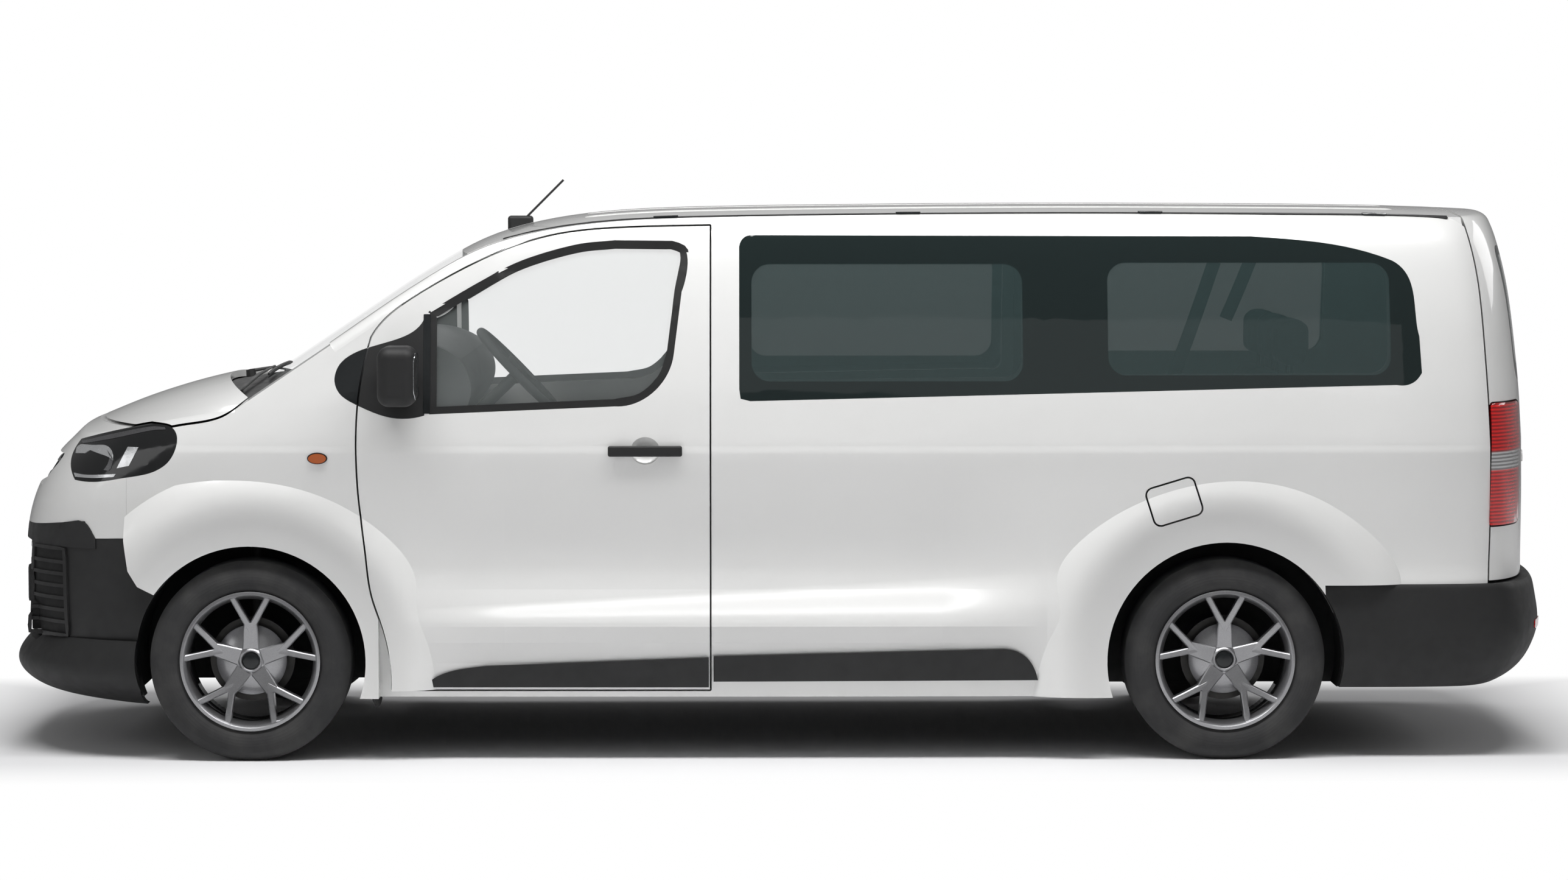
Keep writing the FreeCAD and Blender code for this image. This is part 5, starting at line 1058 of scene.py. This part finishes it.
# %% Mud flaps
flap_columns, flap_rows, flap_thick = 6, 8, 0.006
flap_top_x, flap_top_z, flap_drop, flap_sweep = -1.384, 0.312, 0.140, 0.030
flap_inner_y, flap_width, flap_foot_round = 0.690, 0.230, 0.012


def flap_place(side, across, down):
    """A point of the flap, by its shares across and down."""
    round_up = flap_foot_round * abs(2 * across - 1) ** 3 * down
    return (flap_top_x + flap_sweep * down * down, side * (flap_inner_y + flap_width * across),
            flap_top_z - flap_drop * down + round_up)


def add_mud_flap(word, side):
    """The rubber flap behind one front wheel."""
    bpy.ops.object.select_all(action="DESELECT")
    bpy.ops.mesh.primitive_grid_add(x_subdivisions=flap_columns, y_subdivisions=flap_rows, size=2.0)
    piece = bpy.context.object
    piece.name = piece.data.name = "mud_flap_" + word
    for vert in piece.data.vertices:
        vert.co = flap_place(side, (vert.co.x + 1) / 2, (1 - vert.co.y) / 2)
    piece.data.update()
    backwards = 1.0 if sum(face.normal.x for face in piece.data.polygons) > 0 else -1.0
    apply_modifier(piece, "SOLIDIFY", thickness=flap_thick, offset=backwards, use_even_offset=True)
    return finish_piece(piece, cladding, "body_shell")


pair_up(add_mud_flap)

# %% [markdown]
# ## Wipers
# Two long arms lie low on the windscreen and one short arm on the rear pane. Each has a pivot cap, a tapered
# arm and a blade laid on the glass. All three are bars with eight sides, lofted through points that are shot
# at the glass, so they follow its curve.

# %% Wipers
bar_sides, blade_steps, blade_height, blade_end, blade_width = 8, 9, 0.007, 0.004, 0.0075
arm_widths, arm_flat, bend_over = (0.011, 0.0085, 0.005), 0.6, 1.3
pivot_widths, pivot_over = (0.019, 0.016), 1.25


def bar_rings(points, widths, flat=1.0):
    """The rings of a tapered bar through some points, with a width at each."""
    rings = []
    for i, here in enumerate(points):
        ahead = points[min(i + 1, len(points) - 1)] - points[max(i - 1, 0)]
        side_way = ahead.cross(Vector((0, 0, 1))).normalized()
        up_way = side_way.cross(ahead).normalized()
        turns = [math.tau * k / bar_sides for k in range(bar_sides)]
        rings.append([here + widths[i] * (side_way * math.cos(a) + up_way * flat * math.sin(a))
                      for a in turns])
    return rings


def add_wiper(name, body, skin, look, pivot, bend, tip, blade_from, blade_to, stand):
    """One wiper; its places are given in the plan of one view."""
    out = looks[look][2]

    def on_glass(place, height):
        spot, normal = skin.ray_cast(in_view(look, place) + out * start_distance, -out)[:2]
        return spot + (normal if normal.dot(out) > 0 else -normal) * height

    arm_line = [on_glass(pivot, stand), on_glass(bend, stand * bend_over), on_glass(tip, stand)]
    base = on_glass(pivot, 0.0)
    stops = [Vector(blade_from).lerp(Vector(blade_to), k / blade_steps) for k in range(blade_steps + 1)]
    blade_widths = [blade_end] + [blade_width] * (blade_steps - 1) + [blade_end]
    wiper = join([loft(name, bar_rings(arm_line, arm_widths, arm_flat)),
                  loft("pivot", bar_rings([base, base + (arm_line[0] - base) * pivot_over], pivot_widths)),
                  loft("blade", bar_rings([on_glass(p, blade_height) for p in stops], blade_widths))])
    return finish_piece(wiper, cladding, body)


screen_skin = skin_of("windscreen", "cowl", "roof_panel")
tail_glass_skin = skin_of("tail_glass", "tailgate")
arm_stand, rear_arm_stand = 0.020, 0.016
add_wiper("wiper_driver", "body_shell", screen_skin, "top", (-1.842, -0.560), (-1.800, -0.300),
          (-1.770, 0.02), (-1.762, -0.330), (-1.745, 0.300), arm_stand)
add_wiper("wiper_passenger", "body_shell", screen_skin, "top", (-1.868, 0.060), (-1.815, 0.330),
          (-1.765, 0.520), (-1.775, 0.330), (-1.705, 0.730), arm_stand)
add_wiper("wiper_rear", "tailgate", tail_glass_skin, "back", (0.0, 1.275), (0.150, 1.288), (0.300, 1.300),
          (0.020, 1.305), (0.400, 1.312), rear_arm_stand)
print("wipers: 3")

# %% [markdown]
# ## Wheels
# The cast wheel has five Y-shaped spokes: a stem that forks into two slim prongs, with a dish that falls away
# behind them. The solids keep the barrel and plainer spokes, so these pieces stand for them in the picture.
# The barrel, the dish and the bare cap are spun from their profiles. One spoke is lofted and copied round,
# and the finished wheel is copied to the four corners, mirrored on the right.

# %% Wheels
wheel_corners = {"front_left": (-1.7735, -0.8135), "front_right": (-1.7735, 0.8135),
                 "rear_left": (1.5015, -0.8090), "rear_right": (1.5015, 0.8090)}
turn_steps, spoke_count, first_spoke = 96, 5, math.radians(90.0)
barrel_profile = [(0.2350, 0.1055), (0.2350, 0.0950), (0.2210, 0.0825), (0.2210, -0.0825), (0.2350, -0.0950),
                  (0.2350, -0.1055), (0.2335, -0.1065), (0.2245, -0.1065), (0.2220, -0.1040), (0.2090, -0.0800),
                  (0.2090, 0.0825), (0.2230, 0.1065), (0.2335, 0.1065)]
dish_profile = [(0.0020, -0.0700), (0.0290, -0.0700), (0.0305, -0.0775), (0.0325, -0.0795), (0.0365, -0.0795),
                (0.0390, -0.0770), (0.0430, -0.0735), (0.0560, -0.0725), (0.0640, -0.0690), (0.1160, -0.0475),
                (0.1185, -0.0440), (0.1160, -0.0400), (0.0020, -0.0400)]
cap_profile = [(0.0005, -0.0775), (0.0200, -0.0772), (0.0265, -0.0760), (0.0287, -0.0740), (0.0287, -0.0690),
               (0.0005, -0.0690)]
stem_stations = [(0.040, 0.0, 0.0285), (0.072, 0.0, 0.0260), (0.104, 0.0, 0.0240), (0.129, 0.0, 0.0215)]
prong_stations = [(0.100, -0.0036, 0.0115), (0.1275, 0.0115, 0.0110), (0.172, 0.0360, 0.0100),
                  (0.2150, 0.0595, 0.0100), (0.2205, 0.0625, 0.0125)]
spoke_chamfer, spoke_draft, spoke_deep = 0.0035, 0.0020, 0.030
spoke_root, spoke_run, root_face_y, tip_face_rise = 0.050, 0.160, -0.0765, 0.0235


def spun(name, profile):
    """A closed ring turned about the axle from (radius, y) points."""
    piece = start_piece(name, [Vector((radius, y, 0.0)) for radius, y in profile], filled=False)
    bpy.ops.object.mode_set(mode="EDIT")
    bpy.ops.mesh.spin(steps=turn_steps, angle=math.tau, center=(0, 0, 0), axis=(0, 1, 0))
    bpy.ops.mesh.select_all(action="SELECT")
    bpy.ops.mesh.remove_doubles(threshold=merge_distance)
    close_mesh()
    return piece


def spoke_front(radius):
    """How far out the spokes' face lies at a distance from the axle."""
    return root_face_y - tip_face_rise * min(1.0, max(0.0, (radius - spoke_root) / spoke_run))


def spoke_part(name, stations, flip=1.0):
    """One part of the first spoke through (along, aside, half width) places, with an eased face."""
    along = Vector((math.cos(first_spoke), 0.0, math.sin(first_spoke)))
    aside = Vector((-math.sin(first_spoke), 0.0, math.cos(first_spoke))) * flip
    centres = [along * a + aside * b for a, b, half in stations]
    rings = []
    for i, (a, b, half) in enumerate(stations):
        ahead = centres[min(i + 1, len(centres) - 1)] - centres[max(i - 1, 0)]
        sideways = Vector((-ahead.z, 0.0, ahead.x)).normalized()
        front = spoke_front(centres[i].length)
        back = front + spoke_deep
        side = [(half - spoke_chamfer, front), (half, front + spoke_chamfer), (half + spoke_draft, back)]
        section = [(-w, y) for w, y in side[::-1]] + side
        rings.append([centres[i] + sideways * w + Vector((0.0, y, 0.0)) for w, y in section])
    return loft(name, rings)


def cast_wheel():
    """The barrel, the dish and the spokes of one wheel, with its axle on the Y axis."""
    spoke = join([spoke_part("spoke", stem_stations), spoke_part("prong", prong_stations),
                  spoke_part("prong", prong_stations, -1.0)])
    parts = [spun("wheel_pattern", barrel_profile), spun("dish", dish_profile), spoke]
    for k in range(1, spoke_count):
        copy = copy_of(spoke, f"spoke_{k}")
        copy.data.transform(Matrix.Rotation(-math.tau * k / spoke_count, 4, "Y"))
        parts.append(copy)
    return join(parts)


wheel_pattern, cap_pattern = cast_wheel(), spun("cap_pattern", cap_profile)
for corner, (axle_x, wheel_y) in wheel_corners.items():
    placed = (Matrix.Translation((axle_x, wheel_y, axle_z))
              @ Matrix.Diagonal((1.0, -1.0 if wheel_y > 0 else 1.0, 1.0, 1.0)))
    corner_pieces = []
    for pattern, label, material, slot_name in ((wheel_pattern, "wheel_cast_", alloy, "alloy"),
                                                (cap_pattern, "wheel_cap_", gloss_black, "gloss_black")):
        piece = copy_of(pattern, label + corner)
        piece.data.transform(placed)
        corner_pieces.append(finish_piece(piece, material, "wheel_" + corner))
    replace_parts(corner_pieces[0], "rim_" + corner)
for pattern in (wheel_pattern, cap_pattern):
    bpy.data.objects.remove(pattern)
print("wheels:", len(wheel_corners))

# %% [markdown]
# ## Tail lamps
# The solids of the tail lamps run on inwards behind the tailgate. The real lamps end at the tailgate's edge,
# so these pieces keep the part outside it and stand for the solids in the picture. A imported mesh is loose
# triangles, so its copy is merged first. It is then bisected, and the cut is filled.

# %% Tail lamps
tail_lamp_inner_y = 0.655


def add_tail_lamp(word, side):
    """One tail lamp, ended where the tailgate begins."""
    mesh = nodes["tail_lamps"].data.copy()
    mesh.transform(nodes["tail_lamps"].matrix_world)
    mesh.materials.clear()
    piece = bpy.data.objects.new("tail_lamp_" + word, mesh)
    mesh.name = piece.name
    scene.collection.objects.link(piece)
    open_mesh(piece)
    bpy.ops.mesh.remove_doubles(threshold=merge_distance)
    bpy.ops.mesh.bisect(plane_co=(0.0, side * tail_lamp_inner_y, 0.0), plane_no=(0.0, side, 0.0),
                        use_fill=True, clear_inner=True)
    close_mesh()
    return finish_piece(piece, lamp_red, "body_shell")


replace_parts(pair_up(add_tail_lamp)[0], "tail_lamps")

# %% [markdown]
# ## Plates
# The plates and their front carrier stay blank. Each is an outline extruded straight out and bevelled,
# because a pressed plate is flat even where the bumper behind it is not. Rays shot at the bumper and the
# tailgate say how far out it has to stand.

# %% Plates
front_skin = skin_of("front_bumper", "grilles", "front_fascia", "bonnet")
tail_skin = skin_of("tailgate", "rear_bumper")
plate_half = Vector((0.520, 0.112)) / 2
plate_corner, plate_stand, plate_edge, foremost = 0.008, 0.004, 0.0015, 2.654
carrier_half, carrier_corner, carrier_depths = Vector((0.520 / 2 + 0.012, 0.064)), 0.012, (-0.045, -0.003)
front_plate_centre, rear_plate_centre, rear_plate_depth = Vector((0.0, 0.540)), Vector((0.0, 0.875)), 0.020
front_probes = [(y, z) for y in (0.0, 0.25) for z in (0.48, 0.54, 0.60)]
rear_probes = [(y, rear_plate_centre.y) for y in (0.0, 0.13, 0.25)]


def slab(name, body, material, look, outline, low, high, edge=plate_edge):
    """A flat plate that faces one way, between two distances from the origin, with eased edges."""
    out = looks[look][2]
    piece = loft(name, [[in_view(look, p) + out * depth for p in outline] for depth in (low, high)])
    apply_modifier(piece, "BEVEL", width=edge, segments=2, limit_method="ANGLE", angle_limit=math.radians(50))
    return finish_piece(piece, material, body)


def reach_of(skin, look, places):
    """How far out a skin comes over some places of a view."""
    out = looks[look][2]
    spots = [skin.ray_cast(in_view(look, place) + out * start_distance, -out)[0] for place in places]
    return max(spot.dot(out) for spot in spots if spot)


def plate_line(centre, half, corner):
    """The outline of a plate round its centre."""
    return box_outline(centre - half, centre + half, corner)


front_face = min(reach_of(front_skin, "front", front_probes) + plate_stand, foremost)
rear_face = reach_of(tail_skin, "back", rear_probes)
carrier_line = plate_line(front_plate_centre, carrier_half, carrier_corner)
front_plate_line = plate_line(front_plate_centre, plate_half, plate_corner)
rear_plate_line = plate_line(rear_plate_centre, plate_half, plate_corner)
slab("plate_carrier", "body_shell", cladding, "front", carrier_line, front_face + carrier_depths[0],
     front_face + carrier_depths[1])
slab("plate_front", "body_shell", plate_white, "front", front_plate_line, front_face - plate_stand,
     front_face)
slab("plate_rear", "tailgate", plate_white, "back", rear_plate_line, rear_face - rear_plate_depth,
     rear_face + plate_stand)
print("plates at", round(front_face, 4), "and", round(rear_face, 4))

# %% [markdown]
# ## Tail pieces
# The tailgate has a garnish over its plate with a handle slot under it, and a third brake light at its top.
# Two reflectors sit in the rear bumper. All are low reliefs on curved skins, so they are draped.

# %% Garnish, handle, third brake light and reflectors
tail_pieces = (("tail_garnish", paint, (-0.36, 0.966), (0.36, 1.006), 0.018, 0.014, "paint"),
               ("tail_handle", cladding, (-0.11, 0.9535), (0.11, 0.9645), 0.004, 0.010, "cladding"),
               ("third_brake_light", lamp_red, (-0.12, 1.772), (0.12, 1.787), 0.006, 0.005, "lamp_red"))
reflector_y, reflector_z, reflector_corner, reflector_thick = (0.56, 0.70), (0.420, 0.450), 0.010, 0.004

for piece_name, material, low, high, corner, thick, slot_name in tail_pieces:
    drape(piece_name, "tailgate", material, tail_skin, "back", box_outline(low, high, corner), thick)


def add_reflector(word, side):
    """The red reflector in one end of the rear bumper."""
    low, high = sorted(side * y for y in reflector_y)
    line = box_outline((low, reflector_z[0]), (high, reflector_z[1]), reflector_corner)
    return drape("reflector_" + word, "body_shell", lamp_red, tail_skin, "back", line, reflector_thick)


pair_up(add_reflector)

# %% [markdown]
# ## Mirrors
# Each mirror has its glass on the side that faces the driver. It is draped on the housing from behind, so it
# keeps the slight curve that a real mirror has.

# %% Mirror glass
mirror_y, mirror_z, mirror_corner, mirror_thick = (0.958, 1.086), (1.222, 1.378), 0.030, 0.0015


def add_mirror_glass(word, side):
    """The reflecting pane of one door mirror."""
    low, high = sorted(side * y for y in mirror_y)
    line = box_outline((low, mirror_z[0]), (high, mirror_z[1]), mirror_corner)
    return drape("mirror_glass_" + word, "door_" + word, mirror_silver, skin_of("mirror_" + word), "back",
                 line, mirror_thick, pitch=0.04)


pair_up(add_mirror_glass)

# %% [markdown]
# ## The sliding door's rail
# On the right side the sliding door runs on a rail that shows as a dark line behind the door. The door is
# shut, so a thin strip is enough.

# %% Rail of the sliding door, on the right side
rail_low, rail_high, rail_corner, rail_thick = (1.00, 1.090), (2.16, 1.112), 0.008, 0.002
drape("slide_rail", "body_shell", cladding, skin_of("side_panel_right"), "right",
      box_outline(rail_low, rail_high, rail_corner), rail_thick, pitch=0.1)
print("rail from", rail_low, "to", rail_high)

# %% [markdown]
# ## The cabin
# Foam seats bulge between their seams, which a plain box does not show. Each cushion starts as a cube that is
# bisected into a fine grid. Its corners are rounded, its middle is puffed out and its seams are pressed in. A
# cloth simulation would give the same calm shape for far more work.

# %% Soft seats
cushion_steps, back_steps, rest_steps = (26, 26, 9), (9, 26, 26), (9, 18, 18)
seam_depth, seam_width, border_place, border_width, border_share = 0.008, 0.035, 0.80, 0.05, 0.6
soft_shade_angle, no_length = 60.0, 1e-9
cut_cubes = {}


def cut_cube(steps):
    """A cube bisected into a grid, made once for each count of steps."""
    if steps not in cut_cubes:
        bpy.ops.object.select_all(action="DESELECT")
        bpy.ops.mesh.primitive_cube_add(size=2.0)
        cube = bpy.context.object
        bpy.ops.object.mode_set(mode="EDIT")
        for axis, count in enumerate(steps):
            normal = Vector([1.0 if n == axis else 0.0 for n in range(3)])
            for k in range(1, count):
                bpy.ops.mesh.select_all(action="SELECT")
                bpy.ops.mesh.bisect(plane_co=normal * (2 * k / count - 1), plane_no=normal)
        close_mesh()
        cut_cubes[steps] = cube
    return cut_cubes[steps]


def soft_block(name, low, high, corner, puff, seams=(), turn=None, steps=cushion_steps):
    """A padded block: puff and seams act on its largest faces, across y."""
    low, high = Vector(low), Vector(high)
    middle, reach = (low + high) / 2, (high - low) / 2
    thin = min(range(3), key=lambda k: reach[k])
    wide = [k for k in range(3) if k != thin]
    piece = copy_of(cut_cube(steps), name)
    for v in piece.data.vertices:
        u = v.co.copy()
        swell = puff * (1 - u[wide[0]] ** 2) * (1 - u[wide[1]] ** 4)
        crease = sum(math.exp(-((u[1] - seam) / seam_width) ** 2) for seam in seams)
        border = math.exp(-((abs(u[wide[0]]) - border_place) / border_width) ** 2) * border_share
        swell -= seam_depth * (crease + border)
        place = Vector([u[k] * reach[k] for k in range(3)])
        inner = Vector([max(-reach[k] + corner, min(reach[k] - corner, place[k])) for k in range(3)])
        away = place - inner
        if away.length > no_length:
            place = inner + away.normalized() * min(corner, away.length)
        place[thin] += swell * u[thin]
        v.co = middle + place
    if turn:
        pivot, degrees = Vector(turn[0]), turn[1]
        piece.data.transform(Matrix.Translation(pivot) @ Matrix.Rotation(math.radians(degrees), 4, "Y")
                             @ Matrix.Translation(-pivot))
    finish_piece(piece, seat_cloth, "body_shell", soft_shade_angle)
    return piece


seat_foot_z, seat_base, seat_length, seat_lean = 0.4905, 0.240, 0.490, 14.0
cushion_depth, back_thick = 0.130, 0.130
base_inset, base_share, base_corner, base_edge, part_gap, back_sink = 0.04, 0.8, 0.03, 0.01, 0.003, 0.02
pad_corner, cushion_puff, back_puff, pad_seams = 0.045, 0.014, 0.012, (-0.45, 0.45)
rest_corner, rest_puff = 0.040, 0.010
rest_reach, rest_foot, rest_top = (0.048, 0.13), 0.0425, 0.204
post_y, post_width, post_foot, post_top, post_slant = 0.065, 0.006, -0.05, 0.08, 0.0005


def add_seat(name, x, y, width, back_height, rests, parts):
    """A seat or bench: a trimmed base, cushions, backs and head rests, in place of the plain solid."""
    half = width / 2
    low_z = seat_foot_z + seat_base
    line = box_outline((x + base_inset, y - half * base_share),
                       (x + seat_length - base_inset, y + half * base_share), base_corner)
    pieces = [slab(name + "_base", "body_shell", inner_trim, "top", line, seat_foot_z, low_z + base_inset,
                   base_edge)]
    share = width / parts
    for k in range(parts):
        y0, y1 = y - half + k * share + part_gap, y - half + (k + 1) * share - part_gap
        tag = f"{name}_{k}"
        back_x, top_z = x + seat_length, low_z + cushion_depth
        pieces.append(soft_block(tag + "_cushion", (x, y0, low_z), (back_x, y1, top_z), pad_corner,
                                 cushion_puff, pad_seams))
        pieces.append(soft_block(tag + "_back", (back_x - back_thick / 2, y0, low_z + back_sink),
                                 (back_x + back_thick / 2, y1, top_z + back_height), pad_corner, back_puff,
                                 pad_seams, turn=((back_x, y, low_z), seat_lean), steps=back_steps))
    lean = math.radians(seat_lean)
    top = cushion_depth + back_height
    cx, cz = x + seat_length + top * math.sin(lean), low_z + top * math.cos(lean)
    for k, place in enumerate(rests):
        cy = y + place
        pieces.append(soft_block(f"{name}_rest_{k}", (cx - rest_reach[0], cy - rest_reach[1], cz + rest_foot),
                                 (cx + rest_reach[0], cy + rest_reach[1], cz + rest_top), rest_corner,
                                 rest_puff, steps=rest_steps))
        posts = []
        for post_place in (cy - post_y, cy + post_y):
            ends = [Vector((cx, post_place, cz + post_foot)),
                    Vector((cx + post_slant, post_place, cz + post_top))]
            posts.append(loft(f"{name}_posts_{k}", bar_rings(ends, [post_width, post_width])))
        pieces.append(finish_piece(join(posts), alloy, "body_shell"))
    return pieces


front_pieces = add_seat("seat_driver", -0.760, -0.420, 0.500, 0.300, [], 1)
front_pieces += add_seat("seat_passenger", -0.760, 0.420, 0.500, 0.300, [], 1)
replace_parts(front_pieces[0], "front_seats")
rear_pieces = add_seat("bench", 1.150, 0.0, 1.260, 0.420, [-0.42, 0.0, 0.42], 3)
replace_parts(rear_pieces[0], "rear_seats")
for cube in cut_cubes.values():
    bpy.data.objects.remove(cube)
print("seat pieces:", len(front_pieces) + len(rear_pieces))

# %% [markdown]
# ## Seat belts
# Woven belts hang beside the front seats and behind the bench, from reels above to anchors below. They are
# stretched between fixed points with a slight sag, so a flat bar lofted along that line is their true shape,
# and a cloth simulation would change nothing.

# %% Seat belts
belt_width, belt_thick, belt_steps = 0.047, 0.0015, 8


def belt_line(start, end, sag):
    """Points from start to end with a little sag."""
    start, end = Vector(start), Vector(end)
    shares = [k / belt_steps for k in range(belt_steps + 1)]
    return [start.lerp(end, t) - Vector((0, 0, sag * 4 * t * (1 - t))) for t in shares]


def add_strap(name, points, width_way):
    """A flat belt through some points, with its width along one direction."""
    half = Vector(width_way).normalized() * belt_width / 2
    rings = []
    for i, here in enumerate(points):
        ahead = (points[min(i + 1, len(points) - 1)] - points[max(i - 1, 0)]).normalized()
        up_way = half.cross(ahead).normalized() * belt_thick / 2
        rings.append([here + half + up_way, here - half + up_way, here - half - up_way, here + half - up_way])
    return finish_piece(loft(name, rings), belt_web, "body_shell")


add_strap("belt_rear_left", belt_line((1.534, -0.20, 1.660), (1.391, -0.22, 1.259), 0.006), (0.94, 0, -0.33))
add_strap("belt_rear_right", belt_line((1.716, 0.25, 1.660), (1.625, 0.25, 1.441), 0.004), (0.92, 0, -0.38))
for word, side in sides.items():
    front_line = belt_line((-0.205, side * 0.745, 1.480), (-0.225, side * 0.775, 0.700), 0.0)
    add_strap("belt_front_" + word, front_line, (1, 0, 0))
print("belts: 4")

# %% [markdown]
# ## The floor
# The studio floor is a wide pale sheet that keeps the soft shadow under the vehicle. Outside that shadow it
# glows white for the camera alone, so no horizon shows and the glow lights nothing.

# %% Floor
floor_reach, floor_corners, fade_beside, fade_beyond = 40.0, 64, (0.96, 1.45), (2.62, 3.3)


def add_floor():
    """A round floor that turns white for the camera away from the vehicle."""
    bpy.ops.object.select_all(action="DESELECT")
    bpy.ops.mesh.primitive_circle_add(vertices=floor_corners, radius=floor_reach, fill_type="NGON")
    floor = bpy.context.object
    floor.name = "floor"
    r = Recipe("floor_white", (0.86, 0.86, 0.87), 0.9, Specular_IOR_Level=0.1)
    apart = r.split(r.place)
    fade = r.math("MAXIMUM", r.spread(r.math("ABSOLUTE", apart["Y"]), *fade_beside),
                  r.spread(r.math("ABSOLUTE", apart["X"]), *fade_beyond))
    white = r.node("ShaderNodeEmission", {"Color": (1.0, 1.0, 1.0, 1.0), "Strength": 1.0})
    seen = r.math("MULTIPLY", fade, r.node("ShaderNodeLightPath").outputs["Is Camera Ray"])
    mix = r.node("ShaderNodeMixShader", {0: seen, 1: r.shader.outputs[0], 2: white.outputs[0]})
    r.tree.links.new(mix.outputs[0], r.end.inputs["Surface"])
    floor.data.materials.append(r.material)


add_floor()
print("floor of", floor_reach, "m")
